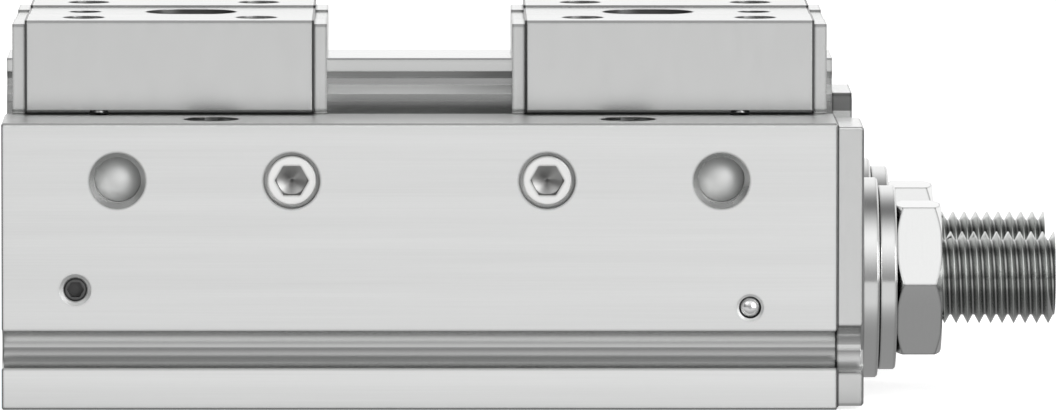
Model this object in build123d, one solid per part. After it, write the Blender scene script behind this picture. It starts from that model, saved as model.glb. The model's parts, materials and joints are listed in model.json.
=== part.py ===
from build123d import *
import math
import os

os.makedirs("parts", exist_ok=True)

# Long-stroke parallel gripper with two opposed pistons, a rack and pinion between them, and two
# jaws on one guide rail. Millimetres. The origin is the middle of the housing's underside.
# X runs along the jaw stroke with the stop studs at +X, -Y is the front, +Z is up to the jaws.

# Housing: an extruded body with two lips either side of the guide channel
HOUSING_LENGTH = 180.0
HOUSING_WIDTH = 114.0
HOUSING_HEIGHT = 62.0
HOUSING_EDGE = 0.7
CHANNEL_WIDTH = 59.0
CHANNEL_FLOOR_WALL = 4.0
BORE_DIAMETER = 40.0
BORE_SPACING = 52.0
BORE_HEIGHT = 26.0
SENSOR_SLOT_HEIGHT = 8.0
SENSOR_SLOT_DEPTH = 6.0
SENSOR_SLOT_LEVEL = 13.1

# Motion: each jaw travels this far inwards from the open position
JAW_STROKE = 20.0
JAW_GAP_CLOSED = 0.2

# Guide rail section, as half widths and heights above the channel floor
RAIL_BASE_HALF = 13.4
RAIL_HEAD_HALF = 13.0
RAIL_NECK_HALF = 11.2
RAIL_HEIGHT = 22.8
RAIL_HEAD_DEPTH = 2.8
RAIL_NECK_TOP = 18.3
RAIL_NECK_BOTTOM = 16.8
RAIL_FLARE_BOTTOM = 15.0
RAIL_LEDGE = 13.4
RAIL_EDGE = 0.4
RAIL_SCREW_PLACES = (30.0, 50.0, 70.0)
RAIL_SCREW = 5.0
RAIL_SCREW_HEAD = 8.5
RAIL_SCREW_HEAD_HEIGHT = 5.0
RAIL_SCREW_SUNK = 5.8
RAIL_SCREW_GRIP = 10.0
RAIL_SCREW_SOCKET = 4.0
SCREW_PLAY = 0.25
FINE_EDGE = 0.3
CUT_MARGIN = 1.0

# Jaws
JAW_LENGTH = 62.7
JAW_WIDTH = 67.6
JAW_TOP_ABOVE_HOUSING = 20.5
JAW_EDGE = 0.6
JAW_OVER_LIP = 0.5
GUIDE_CLEARANCE = 0.1
HEAD_ROOM = 0.4
SKIRT_CLEARANCE = 0.4
TOP_GROOVE_WIDTH = 27.4
TOP_GROOVE_DEPTH = 0.45
FINGER_PITCH_X = 37.5
FINGER_PITCH_Y = 47.2
FINGER_CENTRING = 9.0
FINGER_CENTRING_DEPTH = 2.1
FINGER_THREAD = 6.0
FINGER_THREAD_DEPTH = 12.0
ACCESS_HOLE = 7.0
ACCESS_HOLE_OUTBOARD = 19.0
ACCESS_SLOT_LENGTH = 19.9
ACCESS_SLOT_WIDTH = 15.8
ACCESS_SLOT_INBOARD = 4.2

# Jaw end plates and wipers
PLATE_THICKNESS = 2.75
PLATE_WIDTH = 61.7
PLATE_BELOW_TOP = 1.0
PLATE_RAIL_GAP = 0.6
PLATE_SKIRT_INSET = 0.5
WIPER_THICKNESS = 1.2
WIPER_BAND = 2.6
WIPER_RAIL_GAP = 0.15
PLATE_SCREW = 3.0
PLATE_SCREW_HEAD = 5.6
PLATE_SCREW_LENGTH = 7.0
PLATE_SCREW_SOCKET = 2.0
PLATE_SCREW_Y = 24.0
PLATE_SCREW_DROPS = (5.0, 16.0)

# Drivers that join the pistons to the jaws through slots in the channel floor
DRIVER_LENGTH = 14.0
DRIVER_WIDTH = 10.0
DRIVER_FROM_JAW_END = 12.9
DRIVER_LEVEL = 21.5
DRIVER_FOOT_DEPTH = 12.0
DRIVER_TENON = 7.5
DRIVER_CLEARANCE = 0.5
DRIVER_FIT = 0.05
DRIVER_SCREW = 4.0
DRIVER_SCREW_HEAD = 7.0
DRIVER_SCREW_GRIP = 8.0
DRIVER_SCREW_SOCKET = 3.0

# Pistons, seals and guide bands
PISTON_CLEARANCE = 0.2
PISTON_STOP_GAP = 0.3
SEAL_CLEARANCE = 0.05
SEAL_WIDTH = 4.0
SEAL_DEPTH = 3.0
SEAL_FROM_END = 3.0
GROOVE_GAP = 0.02
BAND_WIDTH = 8.0
BAND_DEPTH = 1.6
BAND_FROM_END = 10.0
MAGNET_WIDTH = 5.0
MAGNET_DEPTH = 3.5
MAGNET_FROM_END = 22.0
PISTON_EDGE = 1.0

# Rack and pinion
GEAR_MODULE = 1.0
PINION_TEETH = 20
PRESSURE_ANGLE = 20.0
GEAR_BACKLASH = 0.12
RACK_TEETH = 14
RACK_CENTRE = 10.0
PINION_WIDTH = 14.0
PINION_HUB = 1.0
PINION_HUB_DIAMETER = 12.8
TOOTH_ROOTED = 0.2
SHAFT_DIAMETER = 8.0
SHAFT_CLEARANCE = 0.03
POCKET_CLEARANCE = 1.0
BUSH_OUTER = 12.0
BUSH_LENGTH = 7.0
BUSH_GAP = 0.3
SHAFT_END_GAP = 0.5
PINION_COVER_THICKNESS = 6.0
PINION_COVER_RECESS = 2.2
PINION_COVER_BOSS = 17.0
CIRCLIP_THICKNESS = 1.2
CIRCLIP_BAND = 2.2
CIRCLIP_BITE = 1.2
CIRCLIP_GAP = 2.2
CIRCLIP_LUG = 4.4
CIRCLIP_EYE = 1.5
CIRCLIP_LUG_SPREAD = 6.2
CIRCLIP_LUG_IN = 0.5

# End cap
CAP_THICKNESS = 5.7
CAP_INSET = 0.8
CAP_EDGE = 0.5
CAP_NOTCH = 10.4
CAP_SPIGOT = 4.0
TONGUE_WIDTH = 25.8
TONGUE_THICKNESS = 4.3
TONGUE_ABOVE_HOUSING = 3.2
TONGUE_EDGE = 0.8
CAP_SCREW = 4.0
CAP_SCREW_HEAD = 7.4
CAP_SCREW_LENGTH = 14.0
CAP_SCREW_SOCKET = 2.5
CAP_SCREW_CORNER_Y = 48.0
CAP_SCREW_LOW = 6.4
CAP_SCREW_BELOW_TOP = 8.0
CAP_SCREW_UNDER_CHANNEL = 7.5
O_RING = 1.8

# Bore covers at the left end
COVER_RECESS = 1.8
COVER_THICKNESS = 4.1
COVER_PULLER = 4.0

# Stop sleeves, washers, lock nuts and studs
SLEEVE_SPIGOT = 30.0
SLEEVE_FLANGE = 43.5
SLEEVE_FLANGE_THICKNESS = 3.7
WASHER_DIAMETER = 40.0
WASHER_THICKNESS = 3.9
RING_EDGE = 0.4
NUT_ACROSS_FLATS = 32.0
NUT_THICKNESS = 9.9
NUT_CHAMFER_ANGLE = 30.0
STUD_DIAMETER = 19.9
STUD_CLEARANCE = 0.1
STUD_OUTSIDE = 34.7
STUD_EDGE = 1.2
STUD_SOCKET = 10.0
STUD_SOCKET_DEPTH = 8.0
BUMPER_DIAMETER = 18.0
BUMPER_THICKNESS = 4.0
BUMPER_EDGE = 1.0
BUMPER_STEM = 8.0
BUMPER_STEM_LENGTH = 7.0
BUMPER_GAP = 2.8

# Holes and plugs in the housing's faces
BASE_PITCH = 90.0
BASE_CENTRING = 12.0
BASE_CENTRING_DEPTH = 2.5
BASE_THREAD = 8.0
BASE_THREAD_DEPTH = 9.0
LIP_THREAD = 10.0
LIP_THREAD_DEPTH = 12.0
SIDE_PITCH = 130.0
SIDE_BELOW_TOP = 12.4
SIDE_THREAD = 10.1
SIDE_THREAD_DEPTH = 8.0
SIDE_CENTRING_DEPTH = 3.0
PORT_PITCH = 55.0
PORT_RECESS = 12.1
PORT_RECESS_DEPTH = 3.0
PORT_THREAD = 9.8
PORT_THREAD_DEPTH = 7.0
PORT_PLUG_LENGTH = 6.0
PORT_HEAD = 10.7
PORT_SOCKET = 6.3
PORT_SUNK = 0.4
GRUB_X = -74.1
GRUB_DIAMETER = 4.9
GRUB_SINK = 6.9
GRUB_SOCKET = 3.2
GRUB_HOLE_SHARE = 6.9 / 11.0
GRUB_SUNK = 0.9
BALL_X = 71.2
BALL_LEVEL = 22.2
BALL_DIAMETER = 4.7
BALL_SINK = 5.8
LIP_BALL_X = 69.5
LIP_BALL_INSET = 3.0
LIP_BALL_DIAMETER = 3.4
LIP_BALL_SINK = 4.4
DRILL_POINT = 118.0

# Places worked out from the driving dimensions
END_X = HOUSING_LENGTH / 2
FACE_Y = HOUSING_WIDTH / 2
BORE_R = BORE_DIAMETER / 2
BORE_Y = BORE_SPACING / 2
FLOOR_Z = BORE_HEIGHT + BORE_R + CHANNEL_FLOOR_WALL
SIDE_LEVEL = HOUSING_HEIGHT - SIDE_BELOW_TOP
SIDE_WALL = FACE_Y - BORE_Y - BORE_R
GRUB_LENGTH = GRUB_HOLE_SHARE * SIDE_WALL - GRUB_SUNK
JAW_TOP = HOUSING_HEIGHT + JAW_TOP_ABOVE_HOUSING
JAW_UNDERSIDE = HOUSING_HEIGHT + JAW_OVER_LIP
SKIRT_HALF = CHANNEL_WIDTH / 2 - SKIRT_CLEARANCE
SKIRT_BOTTOM = FLOOR_Z + SKIRT_CLEARANCE
PLATE_OUTER_END = JAW_STROKE + JAW_GAP_CLOSED / 2
JAW_INNER_END = PLATE_OUTER_END + PLATE_THICKNESS
JAW_CENTRE = JAW_INNER_END + JAW_LENGTH / 2
JAW_OUTER_END = JAW_INNER_END + JAW_LENGTH
DRIVER_X = JAW_INNER_END + DRIVER_FROM_JAW_END
PISTON_R = BORE_R - PISTON_CLEARANCE
COVER_OUTSIDE = END_X - COVER_RECESS - CIRCLIP_THICKNESS
COVER_INSIDE = COVER_OUTSIDE - COVER_THICKNESS
PISTON_OUTER_END = COVER_INSIDE - PISTON_STOP_GAP
PISTON_INNER_END = PISTON_OUTER_END - JAW_STROKE
PITCH_RADIUS = GEAR_MODULE * PINION_TEETH / 2
RACK_PITCH = math.pi * GEAR_MODULE
ADDENDUM = GEAR_MODULE
DEDENDUM = 1.25 * GEAR_MODULE
POCKET_R = PITCH_RADIUS + ADDENDUM + POCKET_CLEARANCE
PINION_BOTTOM = BORE_HEIGHT - PINION_WIDTH / 2
PINION_TOP = BORE_HEIGHT + PINION_WIDTH / 2
POCKET_TOP = PINION_TOP + PINION_HUB + BUSH_GAP
CAP_FACE = END_X + CAP_THICKNESS
FLANGE_FACE = CAP_FACE + SLEEVE_FLANGE_THICKNESS
WASHER_FACE = FLANGE_FACE + WASHER_THICKNESS
NUT_FACE = WASHER_FACE + NUT_THICKNESS
STUD_END = FLANGE_FACE + WASHER_THICKNESS + STUD_OUTSIDE
BUMPER_TIP = PISTON_OUTER_END + BUMPER_GAP
STUD_TIP = BUMPER_TIP + BUMPER_THICKNESS

HALF_TURN = Rot(0, 0, 180)
FACING_RIGHT = Rot(0, 90, 0)
FACING_LEFT = Rot(0, -90, 0)
FACING_FRONT = Rot(90, 0, 0)
FACING_DOWN = Rot(180, 0, 0)


def turned(points):
    """Solid of revolution about +Z from (radius, height) points of its closed half section."""
    corners = [point for k, point in enumerate(points) if point != points[k - 1]]
    outline = Polyline(*corners, close=True)
    return revolve(Plane.XZ * make_face(outline), Axis.Z)


def disc(radius, bottom, top, edge=0.0):
    """Round disc about Z with a bevelled rim at both faces."""
    return turned([(0, bottom), (radius - edge, bottom), (radius, bottom + edge),
                   (radius, top - edge), (radius - edge, top), (0, top)])


def ring(inner, outer, bottom, top, edge=0.0):
    """Ring about Z with a bevelled outer rim."""
    return turned([(inner, bottom), (outer - edge, bottom), (outer, bottom + edge),
                   (outer, top - edge), (outer - edge, top), (inner, top)])


def drilled(radius, depth, mouth_radius=0.0, mouth_depth=0.0):
    """Tool for a blind hole down from Z = 0: a wider mouth, the drilled length and its point."""
    point = radius / math.tan(math.radians(DRILL_POINT / 2))
    mouth_radius = max(mouth_radius, radius)
    return turned([(0, 0), (mouth_radius, 0), (mouth_radius, -mouth_depth),
                   (radius, -mouth_depth), (radius, -mouth_depth - depth),
                   (0, -mouth_depth - depth - point)])


def countersunk(radius, depth, sink_radius):
    """Tool for a blind hole with a 90 degree countersink at Z = 0."""
    return turned([(0, 0), (sink_radius, 0), (radius, radius - sink_radius), (radius, -depth), (0, -depth)])


def hexagon(across_flats, bottom, top):
    """Hexagonal prism about Z with two corners on the X axis."""
    prism = extrude(RegularPolygon(across_flats / 2, 6, major_radius=False), amount=top - bottom)
    return Pos(0, 0, bottom) * prism


def socket(across_flats, depth):
    """Tool for a hexagon socket down from Z = 0, with its drilled point."""
    point = across_flats / 2 / math.tan(math.radians(DRILL_POINT / 2))
    cone = turned([(0, -depth), (across_flats / 2, -depth), (0, -depth - point)])
    return hexagon(across_flats, -depth, 0) + cone


def body_section(inset, notch):
    """Cross-section of the housing profile, drawn in by inset, with its two side grooves cut."""
    width = HOUSING_WIDTH - 2 * inset
    height = HOUSING_HEIGHT - 2 * inset
    section = Pos(0, HOUSING_HEIGHT / 2) * Rectangle(width, height)
    channel_width = CHANNEL_WIDTH + 2 * inset
    section -= Pos(0, FLOOR_Z - inset + height / 2) * Rectangle(channel_width, height)
    section = fillet(section.vertices(), HOUSING_EDGE)
    for side in (-1, 1):
        section -= Pos(side * FACE_Y, SENSOR_SLOT_LEVEL) * notch
    return section


def rail_section(grow=0.0, height=RAIL_HEIGHT):
    """Cross-section of the guide rail, made larger all round by grow."""
    head_bottom = RAIL_HEIGHT - RAIL_HEAD_DEPTH
    half = [(RAIL_BASE_HALF, 0), (RAIL_BASE_HALF, RAIL_LEDGE), (RAIL_HEAD_HALF, RAIL_LEDGE),
            (RAIL_HEAD_HALF, RAIL_FLARE_BOTTOM), (RAIL_NECK_HALF, RAIL_NECK_BOTTOM),
            (RAIL_NECK_HALF, RAIL_NECK_TOP), (RAIL_HEAD_HALF, head_bottom),
            (RAIL_HEAD_HALF, height - RAIL_EDGE), (RAIL_HEAD_HALF - RAIL_EDGE, height)]
    other = [(-y, z) for y, z in reversed(half)]
    section = make_face(Polyline(*half, *other, close=True))
    if grow:
        section = offset(section, amount=grow, kind=Kind.INTERSECTION)
    return Pos(0, FLOOR_Z) * section


def rail_space(side_gap, top_gap, start, length):
    """Tool that cuts a piece on the rail free of it, from X = start and past both its ends."""
    section = rail_section(side_gap, RAIL_HEIGHT + top_gap - side_gap)
    tool = extrude(Plane.YZ * section, amount=length + 2 * CUT_MARGIN)
    return Pos(start - CUT_MARGIN, 0, 0) * tool


def stadium(length, width, bottom, top):
    """Upright block with full round ends, long along X."""
    return Pos(0, 0, bottom) * extrude(SlotOverall(length, width), amount=top - bottom)


def circlip(bore_radius, thickness):
    """Retaining ring for a bore, about Z: an open ring with an eyed lug at each side of its gap."""
    outer = bore_radius + CIRCLIP_BITE - SEAL_CLEARANCE
    inner = outer - CIRCLIP_BAND
    profile = Circle(outer) - Circle(inner)
    for side in (-1, 1):
        place = Pos(side * CIRCLIP_LUG_SPREAD / 2, CIRCLIP_LUG_IN - inner)
        profile += place * Circle(CIRCLIP_LUG / 2)
        profile -= place * Circle(CIRCLIP_EYE / 2)
    profile -= Pos(0, -outer) * Rectangle(CIRCLIP_GAP, 3 * CIRCLIP_BAND)
    return extrude(profile, amount=thickness)


def guide_rail():
    rail = extrude(Plane.YZ * rail_section(), amount=END_X, both=True)
    for x, y, z in rail_screw_places():
        rail -= Pos(x, y, z) * drilled_through()
    return rail


def rail_screw_places():
    """Places of the rail screws, at the bottom of their counterbores."""
    level = FLOOR_Z + RAIL_HEIGHT - RAIL_SCREW_SUNK
    return [(side * x, 0, level) for side in (-1, 1) for x in RAIL_SCREW_PLACES]


def drilled_through():
    """Tool for a counterbored rail hole with the head seat at Z = 0."""
    down = RAIL_HEIGHT - RAIL_SCREW_SUNK
    return turned([(0, -down), (RAIL_SCREW / 2 + SCREW_PLAY, -down), (RAIL_SCREW / 2 + SCREW_PLAY, 0),
                   (RAIL_SCREW_HEAD / 2 + 2 * SCREW_PLAY, 0),
                   (RAIL_SCREW_HEAD / 2 + 2 * SCREW_PLAY, RAIL_SCREW_SUNK), (0, RAIL_SCREW_SUNK)])


def cap_screw(diameter, head, head_height, length, across_flats):
    """Socket head screw with its head seat at Z = 0 and its shank down."""
    body = turned([(0, -length), (diameter / 2, -length), (diameter / 2, 0), (head / 2, 0),
                   (head / 2, head_height), (0, head_height)])
    return body - Pos(0, 0, head_height) * hexagon(across_flats, -head_height / 2, 0)


def countersunk_screw(diameter, head, length, across_flats):
    """Countersunk screw with its head face at Z = 0."""
    sink = (head - diameter) / 2
    body = turned([(0, 0), (head / 2, 0), (diameter / 2, -sink), (diameter / 2, -length), (0, -length)])
    return body - hexagon(across_flats, -sink, 0)


def front_and_rear(piece):
    """The same piece on the front bore axis and on the rear one."""
    return Pos(0, -BORE_Y, BORE_HEIGHT) * piece, Pos(0, BORE_Y, BORE_HEIGHT) * piece


def side_hole_places(level, pitch):
    """Front face places, mirrored about the middle."""
    return [(side * pitch / 2, -FACE_Y, level) for side in (-1, 1)]


def cap_screw_places():
    high = HOUSING_HEIGHT - CAP_SCREW_BELOW_TOP
    corners = [(side * CAP_SCREW_CORNER_Y, z) for side in (-1, 1) for z in (CAP_SCREW_LOW, high)]
    return corners + [(0, CAP_SCREW_LOW), (0, FLOOR_Z - CAP_SCREW_UNDER_CHANNEL)]


def driver_slot():
    """Opening in the channel floor for the front driver over its whole travel."""
    middle = -DRIVER_X + JAW_STROKE / 2
    length = DRIVER_LENGTH + JAW_STROKE + 2 * DRIVER_CLEARANCE
    slot = stadium(length, DRIVER_WIDTH + 2 * DRIVER_CLEARANCE, BORE_HEIGHT, FLOOR_Z + HOUSING_EDGE)
    return Pos(middle, -DRIVER_LEVEL, 0) * slot


def housing():
    groove = SlotOverall(2 * SENSOR_SLOT_DEPTH, SENSOR_SLOT_HEIGHT)
    section = body_section(0.0, groove)
    for side in (-1, 1):
        section -= Pos(side * BORE_Y, BORE_HEIGHT) * Circle(BORE_R)
    body = extrude(Plane.YZ * section, amount=END_X, both=True)
    for end in (0, -1):
        rim = body.faces().sort_by(Axis.X)[end].outer_wire().edges()
        body = chamfer(rim, HOUSING_EDGE / 2)

    body -= driver_slot()
    body -= HALF_TURN * driver_slot()
    body -= pinion_space()
    for y in (-BORE_Y, BORE_Y):
        groove_at = Pos(-COVER_OUTSIDE - CIRCLIP_THICKNESS, y, BORE_HEIGHT) * FACING_RIGHT
        body -= groove_at * disc(BORE_R + CIRCLIP_BITE, 0, CIRCLIP_THICKNESS)

    for x in (-BASE_PITCH / 2, BASE_PITCH / 2):
        for y in (-BASE_PITCH / 2, BASE_PITCH / 2):
            lip_hole = drilled(LIP_THREAD / 2, LIP_THREAD_DEPTH, BASE_CENTRING / 2, BASE_CENTRING_DEPTH)
            base_hole = drilled(BASE_THREAD / 2, BASE_THREAD_DEPTH, BASE_CENTRING / 2, BASE_CENTRING_DEPTH)
            body -= Pos(x, y, HOUSING_HEIGHT) * lip_hole
            body -= Pos(x, y, 0) * FACING_DOWN * base_hole
    for x, y, z in side_hole_places(SIDE_LEVEL, SIDE_PITCH):
        hole = drilled(SIDE_THREAD / 2, SIDE_THREAD_DEPTH, BASE_CENTRING / 2, SIDE_CENTRING_DEPTH)
        body -= Pos(x, y, z) * FACING_FRONT * hole
    for x, y, z in side_hole_places(SIDE_LEVEL, PORT_PITCH):
        hole = drilled(PORT_THREAD / 2, PORT_THREAD_DEPTH, PORT_RECESS / 2, PORT_RECESS_DEPTH)
        body -= Pos(x, y, z) * FACING_FRONT * hole
    grub_hole = countersunk(GRUB_DIAMETER / 2 + SHAFT_CLEARANCE, GRUB_SUNK + GRUB_LENGTH, GRUB_SINK / 2)
    body -= Pos(GRUB_X, -FACE_Y, BORE_HEIGHT) * FACING_FRONT * grub_hole
    body -= Pos(BALL_X, -FACE_Y, BALL_LEVEL) * FACING_FRONT * ball_hole(BALL_DIAMETER, BALL_SINK)
    for place in lip_ball_places():
        body -= place * ball_hole(LIP_BALL_DIAMETER, LIP_BALL_SINK)
    for x, y, z in rail_screw_places():
        body -= Pos(x, y, FLOOR_Z) * drilled(RAIL_SCREW / 2 + SHAFT_CLEARANCE, RAIL_SCREW_GRIP)
    for y, z in cap_screw_places():
        hole = drilled(CAP_SCREW / 2 + SHAFT_CLEARANCE, CAP_SCREW_LENGTH - CAP_THICKNESS)
        body -= Pos(END_X, y, z) * FACING_RIGHT * hole
    return body


def ball_hole(diameter, sink):
    """Tool for a countersunk hole whose ball stands in its mouth."""
    return countersunk(diameter / 2 + SHAFT_CLEARANCE, diameter, sink / 2)


def lip_ball_places():
    y = CHANNEL_WIDTH / 2 + LIP_BALL_INSET
    return [Pos(sx * LIP_BALL_X, sy * y, HOUSING_HEIGHT) for sx in (-1, 1) for sy in (-1, 1)]


def pinion_space():
    """Tool for the pinion pocket, the bush seat above it and the cover's ring groove below it."""
    seat = POCKET_TOP + BUSH_LENGTH
    pocket = turned([(0, 0), (POCKET_R, 0), (POCKET_R, POCKET_TOP), (BUSH_OUTER / 2, POCKET_TOP),
                     (BUSH_OUTER / 2, seat), (0, seat)])
    ring_bottom = PINION_COVER_RECESS - CIRCLIP_THICKNESS
    return pocket + disc(POCKET_R + CIRCLIP_BITE, ring_bottom, PINION_COVER_RECESS)


def pinion():
    base = PITCH_RADIUS * math.cos(math.radians(PRESSURE_ANGLE))
    root = PITCH_RADIUS - DEDENDUM
    tip = PITCH_RADIUS + ADDENDUM
    roll = math.radians(PRESSURE_ANGLE)
    half_tooth = (math.pi * GEAR_MODULE / 2 - GEAR_BACKLASH / 2) / (2 * PITCH_RADIUS)
    half_tooth += math.tan(roll) - roll

    def flank(radius, side):
        angle = math.acos(min(1.0, base / radius))
        turn = side * (half_tooth - (math.tan(angle) - angle))
        return radius * math.cos(turn), radius * math.sin(turn)

    steps = [base + (tip - base) * k / 3 for k in range(4)]
    up = [flank(r, -1) for r in steps]
    down = [flank(r, 1) for r in reversed(steps)]
    foot_low = (root * math.cos(half_tooth) - TOOTH_ROOTED, -root * math.sin(half_tooth))
    foot_high = (foot_low[0], -foot_low[1])
    outline = [Line(foot_low, up[0]), Spline(*up), Line(up[-1], down[0]), Spline(*down),
               Line(down[-1], foot_high), Line(foot_high, foot_low)]
    tooth = make_face(Wire(outline))
    gear = Circle(root)
    for k in range(PINION_TEETH):
        gear += Rot(0, 0, 360 * k / PINION_TEETH) * tooth
    body = Pos(0, 0, PINION_BOTTOM) * extrude(gear, amount=PINION_WIDTH)
    for bottom in (PINION_BOTTOM - PINION_HUB, PINION_TOP):
        body += disc(PINION_HUB_DIAMETER / 2, bottom, bottom + PINION_HUB)
    return body - disc(SHAFT_DIAMETER / 2, PINION_BOTTOM - PINION_HUB, PINION_TOP + PINION_HUB)


def pinion_shaft():
    top = POCKET_TOP + BUSH_LENGTH - SHAFT_END_GAP
    return disc(SHAFT_DIAMETER / 2, lower_bush_bottom() + SHAFT_END_GAP, top, FINE_EDGE)


def lower_bush_bottom():
    return PINION_BOTTOM - PINION_HUB - BUSH_GAP - BUSH_LENGTH


def pinion_bushes():
    """Two plain bushes that carry the pinion shaft."""
    inner = SHAFT_DIAMETER / 2 + SHAFT_CLEARANCE
    bottoms = (lower_bush_bottom(), POCKET_TOP)
    return [ring(inner, BUSH_OUTER / 2, z, z + BUSH_LENGTH, FINE_EDGE) for z in bottoms]


def pinion_cover():
    """Round cover from below, with the seat of the lower bush in its middle."""
    bottom = PINION_COVER_RECESS
    rim_top = bottom + PINION_COVER_THICKNESS
    seat_top = lower_bush_bottom() + BUSH_LENGTH
    outer = POCKET_R - SHAFT_CLEARANCE
    boss = PINION_COVER_BOSS / 2
    return turned([(0, bottom), (outer - FINE_EDGE, bottom), (outer, bottom + FINE_EDGE), (outer, rim_top),
                   (boss, rim_top), (boss, seat_top), (BUSH_OUTER / 2, seat_top),
                   (BUSH_OUTER / 2, lower_bush_bottom()), (0, lower_bush_bottom())])


def end_cap():
    notch = Circle(CAP_NOTCH / 2)
    section = body_section(CAP_INSET, notch)
    cap = Pos(END_X, 0, 0) * extrude(Plane.YZ * section, amount=CAP_THICKNESS)
    rim = cap.faces().sort_by(Axis.X)[-1].outer_wire().edges()
    cap = chamfer(rim, CAP_EDGE)
    tongue_top = HOUSING_HEIGHT + TONGUE_ABOVE_HOUSING
    tongue_height = tongue_top - FLOOR_Z + CAP_INSET
    tongue = Pos(0, tongue_top - tongue_height / 2) * Rectangle(TONGUE_WIDTH, tongue_height)
    tongue = chamfer(tongue.vertices().group_by(Axis.Y)[-1], TONGUE_EDGE)
    cap += Pos(END_X, 0, 0) * extrude(Plane.YZ * tongue, amount=TONGUE_THICKNESS)
    groove_foot = BORE_R - SHAFT_CLEARANCE - O_RING
    groove_start = (CAP_SPIGOT - O_RING) / 2
    spigot = turned([(0, 0), (BORE_R - SHAFT_CLEARANCE, 0), (BORE_R - SHAFT_CLEARANCE, -groove_start),
                     (groove_foot, -groove_start), (groove_foot, -groove_start - O_RING),
                     (BORE_R - SHAFT_CLEARANCE, -groove_start - O_RING),
                     (BORE_R - SHAFT_CLEARANCE, -CAP_SPIGOT), (0, -CAP_SPIGOT)])
    sleeve_hole = disc(SLEEVE_SPIGOT / 2 + SHAFT_CLEARANCE, -CAP_SPIGOT, CAP_THICKNESS)
    for y in (-BORE_Y, BORE_Y):
        cap += Pos(END_X, y, BORE_HEIGHT) * FACING_RIGHT * spigot
        cap -= Pos(END_X, y, BORE_HEIGHT) * FACING_RIGHT * sleeve_hole
    for y, z in cap_screw_places():
        hole = countersunk(CAP_SCREW / 2 + SCREW_PLAY, CAP_THICKNESS, CAP_SCREW_HEAD / 2 + SCREW_PLAY)
        cap -= Pos(CAP_FACE, y, z) * FACING_RIGHT * hole
    return cap


def end_cap_screws():
    screw = countersunk_screw(CAP_SCREW, CAP_SCREW_HEAD, CAP_SCREW_LENGTH, CAP_SCREW_SOCKET)
    return [Pos(CAP_FACE, y, z) * FACING_RIGHT * screw for y, z in cap_screw_places()]


def end_cap_seals():
    start = (CAP_SPIGOT - O_RING) / 2
    seal = ring(BORE_R - SHAFT_CLEARANCE - O_RING, BORE_R - SHAFT_CLEARANCE, -start - O_RING, -start)
    return [Pos(END_X, y, BORE_HEIGHT) * FACING_RIGHT * seal for y in (-BORE_Y, BORE_Y)]


def bore_cover():
    """Flush cover of one bore's left end, about Z with its outer face at the top."""
    outer = BORE_R - SHAFT_CLEARANCE
    low = (COVER_THICKNESS - O_RING) / 2
    cover = turned([(0, 0), (outer, 0), (outer, low), (outer - O_RING, low), (outer - O_RING, low + O_RING),
                    (outer, low + O_RING), (outer, COVER_THICKNESS - FINE_EDGE),
                    (outer - FINE_EDGE, COVER_THICKNESS), (0, COVER_THICKNESS)])
    puller = drilled(COVER_PULLER / 2, COVER_THICKNESS / 2)
    cover -= Pos(0, 0, COVER_THICKNESS) * puller
    return Pos(-COVER_INSIDE, 0, 0) * FACING_LEFT * cover


def bore_cover_seal():
    outer = BORE_R - SHAFT_CLEARANCE
    low = (COVER_THICKNESS - O_RING) / 2
    seal = ring(outer - O_RING, outer, low, low + O_RING)
    return Pos(-COVER_INSIDE, 0, 0) * FACING_LEFT * seal


def bore_cover_clip():
    return Pos(-COVER_OUTSIDE, 0, 0) * FACING_LEFT * circlip(BORE_R, CIRCLIP_THICKNESS)


def stop_sleeve():
    """Flanged sleeve through the end cap that guides one stop stud."""
    inner = STUD_DIAMETER / 2 + STUD_CLEARANCE
    sleeve = turned([(inner, END_X), (SLEEVE_SPIGOT / 2, END_X), (SLEEVE_SPIGOT / 2, CAP_FACE),
                     (SLEEVE_FLANGE / 2, CAP_FACE), (SLEEVE_FLANGE / 2, FLANGE_FACE - RING_EDGE),
                     (SLEEVE_FLANGE / 2 - RING_EDGE, FLANGE_FACE), (inner, FLANGE_FACE)])
    return FACING_RIGHT * sleeve


def stop_washer():
    """Thick round washer between the sleeve and the lock nut."""
    inner = STUD_DIAMETER / 2 + STUD_CLEARANCE
    return FACING_RIGHT * ring(inner, WASHER_DIAMETER / 2, FLANGE_FACE, WASHER_FACE, RING_EDGE)


def lock_nut():
    """Thin hexagon nut, its corners turned off to a cone at both faces."""
    flat = NUT_ACROSS_FLATS / 2
    past_corners = flat / math.cos(math.radians(30)) + CUT_MARGIN
    drop = (past_corners - flat) * math.tan(math.radians(NUT_CHAMFER_ANGLE))
    envelope = turned([(0, WASHER_FACE), (flat, WASHER_FACE), (past_corners, WASHER_FACE + drop),
                       (past_corners, NUT_FACE - drop), (flat, NUT_FACE), (0, NUT_FACE)])
    nut = Rot(0, 0, 90) * hexagon(NUT_ACROSS_FLATS, WASHER_FACE, NUT_FACE) & envelope
    inner = STUD_DIAMETER / 2 + STUD_CLEARANCE
    nut -= disc(inner, WASHER_FACE, NUT_FACE)
    return FACING_RIGHT * nut


def stop_stud():
    """Threaded stud at its crest diameter, with a key socket outside and the bumper seat inside."""
    radius = STUD_DIAMETER / 2
    stud = disc(radius, STUD_TIP, STUD_END, STUD_EDGE)
    stud -= Pos(0, 0, STUD_END) * socket(STUD_SOCKET, STUD_SOCKET_DEPTH)
    stud -= disc(BUMPER_STEM / 2 + SHAFT_CLEARANCE, STUD_TIP, STUD_TIP + BUMPER_STEM_LENGTH + SHAFT_END_GAP)
    return FACING_RIGHT * stud


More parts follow.
